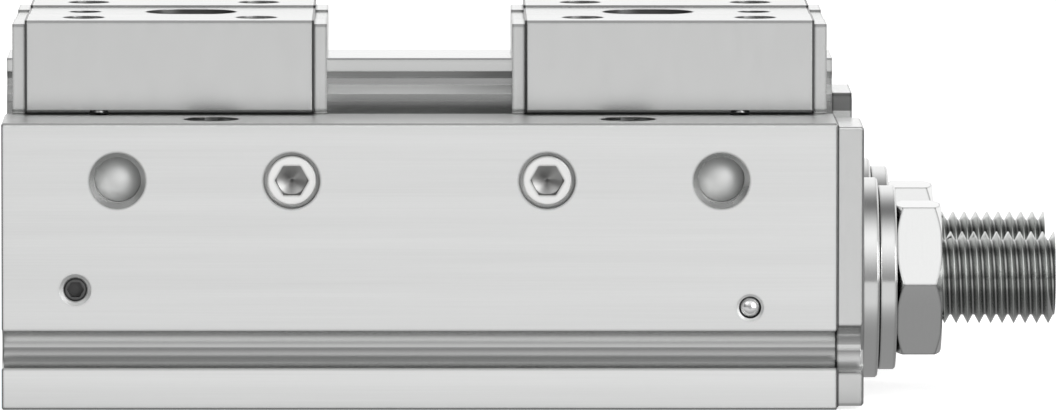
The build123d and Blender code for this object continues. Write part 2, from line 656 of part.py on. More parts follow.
def bumper():
    """Rubber bumper on the stud's inner tip, held by its stem."""
    profile = turned([(0, BUMPER_TIP), (BUMPER_DIAMETER / 2 - BUMPER_EDGE, BUMPER_TIP),
                      (BUMPER_DIAMETER / 2, BUMPER_TIP + BUMPER_EDGE), (BUMPER_DIAMETER / 2, STUD_TIP),
                      (BUMPER_STEM / 2, STUD_TIP), (BUMPER_STEM / 2, STUD_TIP + BUMPER_STEM_LENGTH),
                      (0, STUD_TIP + BUMPER_STEM_LENGTH)])
    return FACING_RIGHT * profile


def rail_screws():
    screw = cap_screw(RAIL_SCREW, RAIL_SCREW_HEAD, RAIL_SCREW_HEAD_HEIGHT,
                      RAIL_HEIGHT - RAIL_SCREW_SUNK + RAIL_SCREW_GRIP, RAIL_SCREW_SOCKET)
    return [Pos(*place) * screw for place in rail_screw_places()]


def port_plugs():
    head_depth = PORT_RECESS_DEPTH - PORT_SUNK
    bottom = -PORT_RECESS_DEPTH - PORT_PLUG_LENGTH
    shank = PORT_THREAD / 2 - SHAFT_CLEARANCE
    plug = turned([(0, bottom), (shank, bottom), (shank, -PORT_RECESS_DEPTH),
                   (PORT_HEAD / 2, -PORT_RECESS_DEPTH), (PORT_HEAD / 2, -PORT_SUNK - FINE_EDGE),
                   (PORT_HEAD / 2 - FINE_EDGE, -PORT_SUNK), (0, -PORT_SUNK)])
    plug -= Pos(0, 0, -PORT_SUNK) * socket(PORT_SOCKET, head_depth)
    return [Pos(*place) * FACING_FRONT * plug for place in side_hole_places(SIDE_LEVEL, PORT_PITCH)]


def grub_screw():
    grub = disc(GRUB_DIAMETER / 2, -GRUB_SUNK - GRUB_LENGTH, -GRUB_SUNK, FINE_EDGE)
    grub -= Pos(0, 0, -GRUB_SUNK) * hexagon(GRUB_SOCKET, -GRUB_LENGTH / 2, 0)
    return Pos(GRUB_X, -FACE_Y, BORE_HEIGHT) * FACING_FRONT * grub


def pressed_ball(diameter):
    """Ball whose top is level with Z = 0."""
    return Pos(0, 0, -diameter / 2) * Sphere(diameter / 2)


def ball_plugs():
    front = Pos(BALL_X, -FACE_Y, BALL_LEVEL) * FACING_FRONT * pressed_ball(BALL_DIAMETER)
    return [front] + [place * pressed_ball(LIP_BALL_DIAMETER) for place in lip_ball_places()]


def jaw_section():
    """Cross-section of a jaw: a wide head over the lips and a skirt in the channel."""
    head_height = JAW_TOP - JAW_UNDERSIDE
    skirt_height = JAW_UNDERSIDE + JAW_EDGE - SKIRT_BOTTOM
    section = Pos(0, JAW_TOP - head_height / 2) * Rectangle(JAW_WIDTH, head_height)
    section = chamfer(section.vertices(), JAW_EDGE)
    section += Pos(0, SKIRT_BOTTOM + skirt_height / 2) * Rectangle(2 * SKIRT_HALF, skirt_height)
    groove = Rectangle(TOP_GROOVE_WIDTH, 2 * TOP_GROOVE_DEPTH)
    return section - Pos(0, JAW_TOP) * groove


def jaw_left():
    jaw = Pos(-JAW_OUTER_END, 0, 0) * extrude(Plane.YZ * jaw_section(), amount=JAW_LENGTH)
    for end in (0, -1):
        sides = jaw.faces().sort_by(Axis.X)[end].edges().filter_by(Axis.Z)
        sides = sides.filter_by(lambda edge: abs(edge.center().Y) > JAW_WIDTH / 2 - JAW_EDGE)
        jaw = chamfer(sides, JAW_EDGE)
    jaw -= rail_space(GUIDE_CLEARANCE, HEAD_ROOM, -JAW_OUTER_END, JAW_LENGTH)
    finger_hole = drilled(FINGER_THREAD / 2, FINGER_THREAD_DEPTH, FINGER_CENTRING / 2, FINGER_CENTRING_DEPTH)
    for dx in (-FINGER_PITCH_X / 2, FINGER_PITCH_X / 2):
        for y in (-FINGER_PITCH_Y / 2, FINGER_PITCH_Y / 2):
            jaw -= Pos(-JAW_CENTRE + dx, y, JAW_TOP) * finger_hole
    roof = FLOOR_Z + RAIL_HEIGHT
    access = disc(ACCESS_HOLE / 2, roof, JAW_TOP)
    jaw -= Pos(-JAW_CENTRE - ACCESS_HOLE_OUTBOARD, 0, 0) * access
    slot = stadium(ACCESS_SLOT_LENGTH, ACCESS_SLOT_WIDTH, roof, JAW_TOP)
    jaw -= Pos(-JAW_CENTRE + ACCESS_SLOT_INBOARD, 0, 0) * slot
    pocket = stadium(DRIVER_LENGTH + 2 * DRIVER_FIT, DRIVER_WIDTH + 2 * DRIVER_FIT,
                     SKIRT_BOTTOM, driver_top() + DRIVER_FIT)
    jaw -= Pos(-DRIVER_X, -DRIVER_LEVEL, 0) * pocket
    for face, way in ((-JAW_OUTER_END, FACING_LEFT), (-JAW_INNER_END, FACING_RIGHT)):
        for y, z in plate_screw_places():
            hole = disc(PLATE_SCREW / 2 + SHAFT_CLEARANCE, -PLATE_SCREW_LENGTH, 0)
            jaw -= Pos(face, y, z) * way * hole
    return jaw


def plate_screw_places():
    return [(side * PLATE_SCREW_Y, JAW_TOP - drop) for side in (-1, 1) for drop in PLATE_SCREW_DROPS]


def plate_section():
    """Cross-section of a jaw end plate, a little smaller than the jaw all round."""
    top = JAW_TOP - PLATE_BELOW_TOP
    bottom = JAW_UNDERSIDE
    section = Pos(0, (top + bottom) / 2) * Rectangle(PLATE_WIDTH, top - bottom)
    section = chamfer(section.vertices(), JAW_EDGE)
    skirt_bottom = SKIRT_BOTTOM + PLATE_SKIRT_INSET
    skirt = Rectangle(2 * (SKIRT_HALF - PLATE_SKIRT_INSET), bottom + JAW_EDGE - skirt_bottom)
    section += Pos(0, (bottom + JAW_EDGE + skirt_bottom) / 2) * skirt
    return section - Pos(0, top) * Rectangle(TOP_GROOVE_WIDTH, 2 * TOP_GROOVE_DEPTH)


def end_plate():
    """Plate for the left jaw's outer end, from X = 0 to X = its thickness, wiper pocket inwards."""
    plate = extrude(Plane.YZ * plate_section(), amount=PLATE_THICKNESS)
    plate -= rail_space(PLATE_RAIL_GAP, PLATE_RAIL_GAP, 0, PLATE_THICKNESS)
    plate -= Pos(PLATE_THICKNESS - WIPER_THICKNESS, 0, 0) * wiper_field(SHAFT_CLEARANCE)
    for y, z in plate_screw_places():
        hole = countersunk(PLATE_SCREW / 2 + SCREW_PLAY, PLATE_THICKNESS, PLATE_SCREW_HEAD / 2 + SCREW_PLAY)
        plate -= Pos(0, y, z) * FACING_LEFT * hole
    return plate


def wiper_field(grow):
    """Block the size of a wiper round the rail, made larger by grow, from X = 0."""
    bottom = SKIRT_BOTTOM + PLATE_SKIRT_INSET
    top = FLOOR_Z + RAIL_HEIGHT + PLATE_RAIL_GAP + WIPER_BAND + grow
    width = 2 * (RAIL_BASE_HALF + PLATE_RAIL_GAP + WIPER_BAND + grow)
    section = Pos(0, (bottom + top) / 2) * Rectangle(width, top - bottom)
    section = fillet(section.vertices().group_by(Axis.Y)[-1], WIPER_BAND)
    return extrude(Plane.YZ * section, amount=WIPER_THICKNESS)


def wiper():
    """Rubber wiper that fills the plate's pocket and runs on the rail."""
    return wiper_field(0) - rail_space(WIPER_RAIL_GAP, WIPER_RAIL_GAP, 0, WIPER_THICKNESS)


def plate_screws():
    length = PLATE_SCREW_LENGTH + PLATE_THICKNESS / 2
    screw = countersunk_screw(PLATE_SCREW, PLATE_SCREW_HEAD, length, PLATE_SCREW_SOCKET)
    screws = []
    for face, way in ((-JAW_OUTER_END - PLATE_THICKNESS, FACING_LEFT), (-PLATE_OUTER_END, FACING_RIGHT)):
        screws += [Pos(face, y, z) * way * screw for y, z in plate_screw_places()]
    return screws


def driver_top():
    return SKIRT_BOTTOM + DRIVER_TENON


def driver_foot():
    return BORE_HEIGHT + PISTON_R - DRIVER_FOOT_DEPTH


def driver_left():
    """Steel block from the front piston up into the left jaw's skirt."""
    driver = stadium(DRIVER_LENGTH, DRIVER_WIDTH, driver_foot(), driver_top())
    driver -= disc(DRIVER_SCREW_HEAD / 2 + SCREW_PLAY, driver_screw_seat(), driver_top())
    driver -= disc(DRIVER_SCREW / 2 + SCREW_PLAY, driver_foot(), driver_top())
    return Pos(-DRIVER_X, -DRIVER_LEVEL, 0) * driver


def driver_screw_seat():
    return driver_top() - DRIVER_SCREW - SCREW_PLAY


def driver_screw_left():
    length = driver_screw_seat() - driver_foot() + DRIVER_SCREW_GRIP
    screw = cap_screw(DRIVER_SCREW, DRIVER_SCREW_HEAD, DRIVER_SCREW, length, DRIVER_SCREW_SOCKET)
    return Pos(-DRIVER_X, -DRIVER_LEVEL, driver_screw_seat()) * screw


def piston_ring_grooves():
    """Distance from the piston's end, width and depth of each groove: seals, bands and magnet."""
    length = PISTON_OUTER_END + PISTON_INNER_END
    both_ends = [(SEAL_FROM_END, SEAL_WIDTH, SEAL_DEPTH), (BAND_FROM_END, BAND_WIDTH, BAND_DEPTH)]
    grooves = []
    for start, width, depth in both_ends:
        grooves.append((start, width, depth))
        grooves.append((length - start - width, width, depth))
    grooves.append((length - MAGNET_FROM_END - MAGNET_WIDTH, MAGNET_WIDTH, MAGNET_DEPTH))
    return grooves


def piston_front():
    """Double-ended piston of the front bore in the open position, its rack towards the pinion."""
    length = PISTON_OUTER_END + PISTON_INNER_END
    piston = disc(PISTON_R, 0, length, PISTON_EDGE)
    for start, width, depth in piston_ring_grooves():
        piston -= ring(PISTON_R - depth, PISTON_R + CUT_MARGIN, start, start + width)
    piston = Pos(-PISTON_OUTER_END, -BORE_Y, BORE_HEIGHT) * FACING_RIGHT * piston

    tip_line = -PITCH_RADIUS + ADDENDUM
    root_line = -PITCH_RADIUS - DEDENDUM
    rack_length = RACK_TEETH * RACK_PITCH
    slope = math.tan(math.radians(PRESSURE_ANGLE))
    half_gap = (math.pi * GEAR_MODULE / 2 + GEAR_BACKLASH / 2) / 2
    mouth = half_gap + ADDENDUM * slope
    floor = half_gap - DEDENDUM * slope
    gap = make_face(Polyline((-mouth, tip_line), (mouth, tip_line), (floor, root_line), (-floor, root_line),
                             close=True))
    milled_width = BORE_R
    cut = Pos(-RACK_CENTRE, tip_line + milled_width / 2) * Rectangle(rack_length, milled_width)
    first = round((-RACK_CENTRE - rack_length / 2) / RACK_PITCH + 0.5)
    for k in range(first, first + RACK_TEETH):
        cut += Pos(k * RACK_PITCH, 0) * gap
    piston -= Pos(0, 0, BORE_HEIGHT - BORE_R) * extrude(cut, amount=2 * BORE_R)

    pocket = stadium(DRIVER_LENGTH + 2 * DRIVER_FIT, DRIVER_WIDTH + 2 * DRIVER_FIT,
                     driver_foot(), BORE_HEIGHT + BORE_R)
    piston -= Pos(-DRIVER_X, -DRIVER_LEVEL, 0) * pocket
    screw_hole = drilled(DRIVER_SCREW / 2 + SHAFT_CLEARANCE, DRIVER_SCREW_GRIP)
    piston -= Pos(-DRIVER_X, -DRIVER_LEVEL, driver_foot()) * screw_hole
    return piston


def piston_rings(start, width, depth, outer):
    """One ring in a piston groove, in place on the front piston."""
    seal = ring(PISTON_R - depth + GROOVE_GAP, outer, start + GROOVE_GAP, start + width - GROOVE_GAP)
    return Pos(-PISTON_OUTER_END, -BORE_Y, BORE_HEIGHT) * FACING_RIGHT * seal


def front_piston_groups():
    """Seals, guide bands and magnet of the front piston."""
    grooves = piston_ring_grooves()
    running = BORE_R - SEAL_CLEARANCE
    seals = [piston_rings(*groove, running) for groove in grooves[0:2]]
    bands = [piston_rings(*groove, running) for groove in grooves[2:4]]
    magnet = [piston_rings(*grooves[4], PISTON_R - SEAL_CLEARANCE)]
    return seals, bands, magnet


def save(name, piece):
    """Write one node; a list becomes a group of separate solids."""
    if isinstance(piece, list):
        piece = Compound(children=[solid for item in piece for solid in item.solids()])
    export_step(piece, f"parts/{name}.step")


def save_pair(left_name, right_name, piece):
    """Write a piece of the left jaw's group and its twin, half a turn about Z, for the right jaw."""
    items = piece if isinstance(piece, list) else [piece]
    twin = [HALF_TURN * item for item in items]
    save(left_name, piece)
    save(right_name, twin if isinstance(piece, list) else twin[0])


save("housing", housing())
save("guide_rail", guide_rail())
save("rail_screws", rail_screws())
save("end_cap", end_cap())
save("end_cap_screws", end_cap_screws())
save("end_cap_seals", end_cap_seals())
save("port_plugs", port_plugs())
save("grub_screw", grub_screw())
save("ball_plugs", ball_plugs())
save("pinion", pinion())
save("pinion_shaft", pinion_shaft())
save("pinion_bushes", pinion_bushes())
save("pinion_cover", pinion_cover())
clip_seat = Pos(0, 0, PINION_COVER_RECESS - CIRCLIP_THICKNESS)
save("pinion_cover_clip", clip_seat * circlip(POCKET_R, CIRCLIP_THICKNESS))

for name, piece in (("bore_cover", bore_cover()), ("stop_sleeve", stop_sleeve()),
                    ("stop_washer", stop_washer()), ("lock_nut", lock_nut()),
                    ("stop_stud", stop_stud()), ("bumper", bumper())):
    front, rear = front_and_rear(piece)
    save(f"front_{name}", front)
    save(f"rear_{name}", rear)
save("bore_cover_seals", list(front_and_rear(bore_cover_seal())))
save("bore_cover_clips", list(front_and_rear(bore_cover_clip())))

outer_plate = Pos(-JAW_OUTER_END - PLATE_THICKNESS, 0, 0) * end_plate()
inner_plate = Pos(-PLATE_OUTER_END, 0, 0) * HALF_TURN * end_plate()
wipers = [Pos(-JAW_OUTER_END - WIPER_THICKNESS, 0, 0) * wiper(), Pos(-JAW_INNER_END, 0, 0) * wiper()]
piston_seals, guide_bands, magnet = front_piston_groups()
save_pair("jaw_left", "jaw_right", jaw_left())
save_pair("outer_plate_left", "outer_plate_right", outer_plate)
save_pair("inner_plate_left", "inner_plate_right", inner_plate)
save_pair("wipers_left", "wipers_right", wipers)
save_pair("plate_screws_left", "plate_screws_right", plate_screws())
save_pair("driver_left", "driver_right", driver_left())
save_pair("driver_screw_left", "driver_screw_right", driver_screw_left())
save_pair("piston_front", "piston_rear", piston_front())
save_pair("piston_seals_front", "piston_seals_rear", piston_seals)
save_pair("guide_bands_front", "guide_bands_rear", guide_bands)
save_pair("magnet_front", "magnet_rear", magnet)
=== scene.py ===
# %% [markdown]
# # A long-stroke parallel gripper
#
# The gripper is a brushed aluminium housing with two steel jaws that slide on one guide rail. Two pistons
# inside drive the jaws, and a pinion keeps them even. Two threaded studs at the right end limit the stroke.
# The machined pieces come from the model that is loaded here, so this lesson adds what a machine model
# leaves out: the threads, the finish of each metal, the light and the camera.

# %% Load the machined pieces
import bpy
import json
import math
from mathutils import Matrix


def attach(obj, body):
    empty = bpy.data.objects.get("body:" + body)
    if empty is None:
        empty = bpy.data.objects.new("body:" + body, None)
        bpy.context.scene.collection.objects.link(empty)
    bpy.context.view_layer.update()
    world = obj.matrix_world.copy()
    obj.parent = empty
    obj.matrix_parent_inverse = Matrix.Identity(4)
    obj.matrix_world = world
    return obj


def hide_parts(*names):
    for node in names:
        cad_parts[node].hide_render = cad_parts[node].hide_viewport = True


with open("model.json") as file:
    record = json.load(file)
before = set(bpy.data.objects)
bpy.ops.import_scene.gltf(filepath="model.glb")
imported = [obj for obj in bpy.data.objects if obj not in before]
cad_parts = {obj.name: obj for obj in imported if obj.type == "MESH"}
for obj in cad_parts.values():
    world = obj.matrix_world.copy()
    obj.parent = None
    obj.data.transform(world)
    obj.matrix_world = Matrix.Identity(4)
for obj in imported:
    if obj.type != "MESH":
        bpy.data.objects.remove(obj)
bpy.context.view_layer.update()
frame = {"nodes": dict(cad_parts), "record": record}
nodes = frame["nodes"]

# %% [markdown]
# ## Clearing the selection
#
# Every modelling operator acts on what is selected, and the loaded pieces come in selected. So each step
# starts by dropping the selection. A finished piece keeps its place in its mesh, with its object at the
# world's origin, because then it moves with its body as the machined pieces do.

# %% Small helpers for every step
MM = 0.001


def clear_selection():
    if bpy.context.object and bpy.context.object.mode != "OBJECT":
        bpy.ops.object.mode_set(mode="OBJECT")
    bpy.ops.object.select_all(action="DESELECT")


def pick(piece):
    """Select this piece alone and make it the active one."""
    clear_selection()
    piece.select_set(True)
    bpy.context.view_layer.objects.active = piece


def settle(piece):
    """Apply the piece's place, turn and size to its mesh."""
    pick(piece)
    bpy.ops.object.transform_apply(location=True, rotation=True, scale=True)
    return piece


def apply_modifier(piece, name):
    pick(piece)
    bpy.ops.object.modifier_apply(modifier=name)


def copy_to(piece, name, offset):
    """A copy with its own mesh, moved by offset."""
    pick(piece)
    bpy.ops.object.duplicate(linked=False)
    twin = bpy.context.object
    twin.name = name
    twin.location = offset
    return settle(twin)


print("helpers ready")

# %% [markdown]
# ## Brushed metal
#
# The housing is an extruded profile that was ground along its length, so fine scratches run along it. Each
# scratch is a little lighter or darker than the next and a little rougher. A noise that is stretched along
# one direction gives such lines. It is a node group, because most of the metals here use it, each with its
# own stretch: the mapping in each material sets how long and how fine the lines are.

# %% The group for brushed lines


def new_group(name, inputs, outputs):
    group = bpy.data.node_groups.new(name, "ShaderNodeTree")
    for label, kind, value in inputs:
        entry = group.interface.new_socket(label, in_out="INPUT", socket_type=kind)
        if value is not None:
            entry.default_value = value
    for label, kind in outputs:
        group.interface.new_socket(label, in_out="OUTPUT", socket_type=kind)
    start = group.nodes.new("NodeGroupInput")
    end = group.nodes.new("NodeGroupOutput")
    return group, start, end


def math_node(tree, operation, first, second=None):
    node = tree.nodes.new("ShaderNodeMath")
    node.operation = operation
    for k, value in enumerate((first, second)):
        if value is None:
            continue
        if isinstance(value, (int, float)):
            node.inputs[k].default_value = value
        else:
            tree.links.new(value, node.inputs[k])
    return node.outputs[0]


brushed, start, end = new_group(
    "Brushed lines",
    [("Vector", "NodeSocketVector", None), ("Contrast", "NodeSocketFloat", 1.0)],
    [("Lines", "NodeSocketFloat"), ("Patches", "NodeSocketFloat")])
fine = brushed.nodes.new("ShaderNodeTexNoise")
fine.inputs["Scale"].default_value = 1.0
fine.inputs["Detail"].default_value = 3.0
brushed.links.new(start.outputs["Vector"], fine.inputs["Vector"])
broad = brushed.nodes.new("ShaderNodeTexNoise")
broad.inputs["Scale"].default_value = 0.13
broad.inputs["Detail"].default_value = 2.0
brushed.links.new(start.outputs["Vector"], broad.inputs["Vector"])
centred = math_node(brushed, "SUBTRACT", fine.outputs["Fac"], 0.5)
scaled = math_node(brushed, "MULTIPLY", centred, start.outputs["Contrast"])
brushed.links.new(math_node(brushed, "ADD", scaled, 0.5), end.inputs["Lines"])
brushed.links.new(broad.outputs["Fac"], end.inputs["Patches"])
print("group", brushed.name)

# %% [markdown]
# ## Turned metal
#
# Washers, sleeves and studs come off a lathe, and the tool leaves fine rings round the axis. The rings
# depend only on the distance from the axis and on the place along it, so the group works out that distance
# first and gives both to a noise. The axis lies along X, and the mapping in the material moves it to the
# middle of the piece.

# %% The group for turned rings
turned, start, end = new_group(
    "Turned rings",
    [("Vector", "NodeSocketVector", None), ("Fineness", "NodeSocketFloat", 3000.0)],
    [("Lines", "NodeSocketFloat"), ("Patches", "NodeSocketFloat")])
parts = turned.nodes.new("ShaderNodeSeparateXYZ")
turned.links.new(start.outputs["Vector"], parts.inputs[0])
across = math_node(turned, "POWER", parts.outputs["Y"], 2.0)
upward = math_node(turned, "POWER", parts.outputs["Z"], 2.0)
radius = math_node(turned, "SQRT", math_node(turned, "ADD", across, upward))
joined = turned.nodes.new("ShaderNodeCombineXYZ")
turned.links.new(math_node(turned, "MULTIPLY", parts.outputs["X"], start.outputs["Fineness"]),
                 joined.inputs["X"])
turned.links.new(math_node(turned, "MULTIPLY", radius, start.outputs["Fineness"]), joined.inputs["Y"])
rings = turned.nodes.new("ShaderNodeTexNoise")
rings.inputs["Scale"].default_value = 1.0
rings.inputs["Detail"].default_value = 2.0
turned.links.new(joined.outputs[0], rings.inputs["Vector"])
cloud = turned.nodes.new("ShaderNodeTexNoise")
cloud.inputs["Scale"].default_value = 60.0
turned.links.new(start.outputs["Vector"], cloud.inputs["Vector"])
turned.links.new(rings.outputs["Fac"], end.inputs["Lines"])
turned.links.new(cloud.outputs["Fac"], end.inputs["Patches"])
print("group", turned.name)

# %% [markdown]
# ## One recipe for all metals
#
# Each metal has a light and a dark colour that the lines mix, a range of roughness, and a shallow bump from
# the same lines. The bevel node rounds each edge by a hair in the shading, which gives the thin bright line
# that every machined edge shows. Grinding only reaches the outside of a piece. Its grooves, holes and sockets
# keep a smoother skin, and the chamfers are cut last and are the smoothest of all. A metal can have layers,
# each a tone and a roughness for zones that are named by their places along the axes. The tones are painted
# shade, darker in grooves, holes, sockets, channels and under other pieces, and in a few places a painted
# highlight. Its rims get a roughness of their own where the surface is slanted, and on some metals a painted
# shade. Two ambient occlusion nodes paint more shade: one darkens concave corners, and one, looking inward,
# draws a thin darker line along convex edges. These painted tones stay on the piece in any light.

# %% The metal recipe


def largest(tree, values):
    total = values[0]
    for value in values[1:]:
        total = math_node(tree, "MAXIMUM", total, value)
    return total


def blend(tree, factor, first, second):
    """Mix two numbers or number sockets by a factor socket."""
    node = tree.nodes.new("ShaderNodeMix")
    tree.links.new(factor, node.inputs["Factor"])
    for label, value in (("A", first), ("B", second)):
        if isinstance(value, (int, float)):
            node.inputs[label].default_value = value
        else:
            tree.links.new(value, node.inputs[label])
    return node.outputs["Result"]


def within(tree, place, zones):
    """One inside any of the zones and else zero.

    A zone is (axis, middle, half width) in millimetres, or a list of them that bounds a box.
    """
    split = tree.nodes.new("ShaderNodeSeparateXYZ")
    tree.links.new(place.outputs["Object"], split.inputs[0])
    found = []
    for zone in zones:
        inside = None
        for axis, middle, half in zone if isinstance(zone, list) else [zone]:
            away = math_node(tree, "ABSOLUTE", math_node(tree, "SUBTRACT", split.outputs[axis], middle * MM))
            near = math_node(tree, "LESS_THAN", away, half * MM)
            inside = math_node(tree, "MULTIPLY", inside, near) if inside else near
        found.append(inside)
    return largest(tree, found)


def slanted(tree, place):
    """One where the surface faces along none of the three axes, as a chamfer does."""
    split = tree.nodes.new("ShaderNodeSeparateXYZ")
    tree.links.new(place.outputs["Normal"], split.inputs[0])
    along = [math_node(tree, "ABSOLUTE", split.outputs[axis]) for axis in "XYZ"]
    return math_node(tree, "LESS_THAN", largest(tree, along), SLANTED_BELOW)


# Width and ranges of the painted shade in corners and along convex edges.
EDGE_SHADE_WIDTH = 0.6
CORNER_SHADE_SPAN, EDGE_SHADE_SPAN = (0.25, 0.85), (0.50, 0.96)
SLANTED_BELOW = 0.97


def metal(name, light, dark, rough, group, stretch, bump=0.05, centre=(0, 0, 0), edge=0.15, metallic=1.0,
          extra=None, painted_layers=(), rims=None, rim_rough=0.12, rim_painted_shade=1.0, corner=None, reach=0.5,
          alone=False, line=None):
    """A material.

    Each layer is (zones or None for all over, tone of painted shade or highlight, roughness or None for the
    pattern's). Slanted surfaces in the zones of rims get rim_rough and the rim tone, a painted shade. corner
    is the tone of painted shade in concave corners within reach millimetres, where alone leaves out other
    pieces, and line is the tone of painted shade along convex edges.
    """
    material = bpy.data.materials.new(name)
    material.use_nodes = True
    tree = material.node_tree
    shader = tree.nodes["Principled BSDF"]
    place = tree.nodes.new("ShaderNodeTexCoord")
    mapping = tree.nodes.new("ShaderNodeMapping")
    mapping.inputs["Location"].default_value = [-c * s for c, s in zip(centre, stretch)]
    mapping.inputs["Scale"].default_value = stretch
    pattern = tree.nodes.new("ShaderNodeGroup")
    pattern.node_tree = group
    for label, value in (extra or {}).items():
        pattern.inputs[label].default_value = value
    tree.links.new(place.outputs["Object"], mapping.inputs["Vector"])
    tree.links.new(mapping.outputs[0], pattern.inputs["Vector"])
    colour = tree.nodes.new("ShaderNodeMix")
    colour.data_type = "RGBA"
    colour.inputs["A"].default_value = (*dark, 1)
    colour.inputs["B"].default_value = (*light, 1)
    tree.links.new(pattern.outputs["Lines"], colour.inputs["Factor"])
    tone = colour.outputs["Result"]
    span = tree.nodes.new("ShaderNodeMapRange")
    span.inputs["From Min"].default_value = 0.3
    span.inputs["From Max"].default_value = 0.7
    span.inputs["To Min"].default_value = rough[0]
    span.inputs["To Max"].default_value = rough[1]
    tree.links.new(pattern.outputs["Patches"], span.inputs["Value"])
    ground_rough = roughness = span.outputs[0]
    factor = 1.0
    # Each layer paints shade or a highlight: it scales the tone in its zones.
    for zones, painted_tone, layer_rough in painted_layers:
        layer_rough = ground_rough if layer_rough is None else layer_rough
        if zones is None:
            factor, roughness = painted_tone, layer_rough
            continue
        inside = within(tree, place, zones)
        factor = blend(tree, inside, factor, painted_tone)
        roughness = blend(tree, inside, roughness, layer_rough)
    # Slanted rims in the zones get their own roughness and a painted shade.
    if rims:
        cut = math_node(tree, "MULTIPLY", within(tree, place, rims), slanted(tree, place))
        roughness = blend(tree, cut, roughness, rim_rough)
        factor = blend(tree, cut, factor, rim_painted_shade)
    # Painted shade from ambient occlusion: darker in concave corners and in a thin line along convex edges.
    for painted_shade_tone, distance, inside, limits in ((corner, reach, False, CORNER_SHADE_SPAN),
                                                 (line, EDGE_SHADE_WIDTH, True, EDGE_SHADE_SPAN)):
        if painted_shade_tone is None:
            continue
        near = tree.nodes.new("ShaderNodeAmbientOcclusion")
        near.samples = 6
        near.inside = inside
        near.only_local = alone or inside
        near.inputs["Distance"].default_value = distance * MM
        open_part = tree.nodes.new("ShaderNodeMapRange")
        open_part.inputs["From Min"].default_value = limits[0]
        open_part.inputs["From Max"].default_value = limits[1]
        open_part.inputs["To Min"].default_value = painted_shade_tone
        tree.links.new(near.outputs["AO"], open_part.inputs["Value"])
        factor = math_node(tree, "MULTIPLY", open_part.outputs[0], factor)
    if not isinstance(factor, float):
        shade = tree.nodes.new("ShaderNodeMix")
        shade.data_type = "RGBA"
        shade.blend_type = "MULTIPLY"
        shade.inputs["Factor"].default_value = 1.0
        tree.links.new(tone, shade.inputs["A"])
        tree.links.new(factor, shade.inputs["B"])
        tone = shade.outputs["Result"]
    tree.links.new(tone, shader.inputs["Base Color"])
    tree.links.new(roughness, shader.inputs["Roughness"])
    shader.inputs["Metallic"].default_value = metallic
    rounded = tree.nodes.new("ShaderNodeBevel")
    rounded.samples = 4
    rounded.inputs["Radius"].default_value = edge * MM
    relief = tree.nodes.new("ShaderNodeBump")
    relief.inputs["Strength"].default_value = bump
    relief.inputs["Distance"].default_value = 0.02 * MM
    tree.links.new(pattern.outputs["Lines"], relief.inputs["Height"])
    tree.links.new(rounded.outputs[0], relief.inputs["Normal"])
    tree.links.new(relief.outputs[0], shader.inputs["Normal"])
    return material


BORE_CENTRE = (0.1, -0.026, 0.026)
SIDES = (-1, 1)
# Zones in millimetres for painted shade, painted highlights and rims.
HOUSING_OUTSIDE = [("X", 90, 0.3), ("X", -90, 0.3), ("Y", 57, 0.7), ("Y", -57, 0.7), ("Z", 45, 15),
                   ("Z", 0, 0.7)]
HOUSING_RIMS = [("X", 90, 0.4), ("X", -90, 0.4), ("Z", 62, 0.75), ("Z", 0, 0.75)]
SHADED_SLOT_MIDDLE = [("Z", 11.6, 1.5)]
SHADED_LIP_TOPS = [("Z", 62, 0.1)]
LIT_FOOT_STRIP = [("Z", 4.2, 4.3)]
SHADED_INSIDE_THE_LIPS = [[("X", 0, 89.5), ("Y", side * 41, 9.9), ("Z", 31, 30.8)] for side in SIDES]
SHADED_TONGUE_SIDES, TONGUE_TOP, LIT_CAP_TOP = [("Z", 63.5, 2.2)], [("Z", 65.2, 0.15)], [("Z", 61.2, 0.09)]
SHADED_CAP_NOTCHES = [[("Y", side * 54, 2.15), ("Z", 13.1, 4.7)] for side in SIDES]
CAP_RIM = [("X", 95.7, 0.55)]
SHADED_JAW_SEAMS = [("X", side * end, 0.28) for side in SIDES for end in (23.06, 85.34)]
SHADED_INSIDE_THE_JAWS = [[("X", side * 54.2, 31), ("Y", 0, 32), ("Z", 71, 10.95)] for side in SIDES]
SHADED_RAIL_UNDERCUT, RAIL_HEAD_AND_FLARE = [("Z", 69.3, 0.66)], [("Z", 71.4, 1.5), ("Z", 65.9, 0.95)]
RAIL_FLARE = [("Z", 65.9, 0.95)]
PLUG_FACES = [("Y", -57, 0.72)]
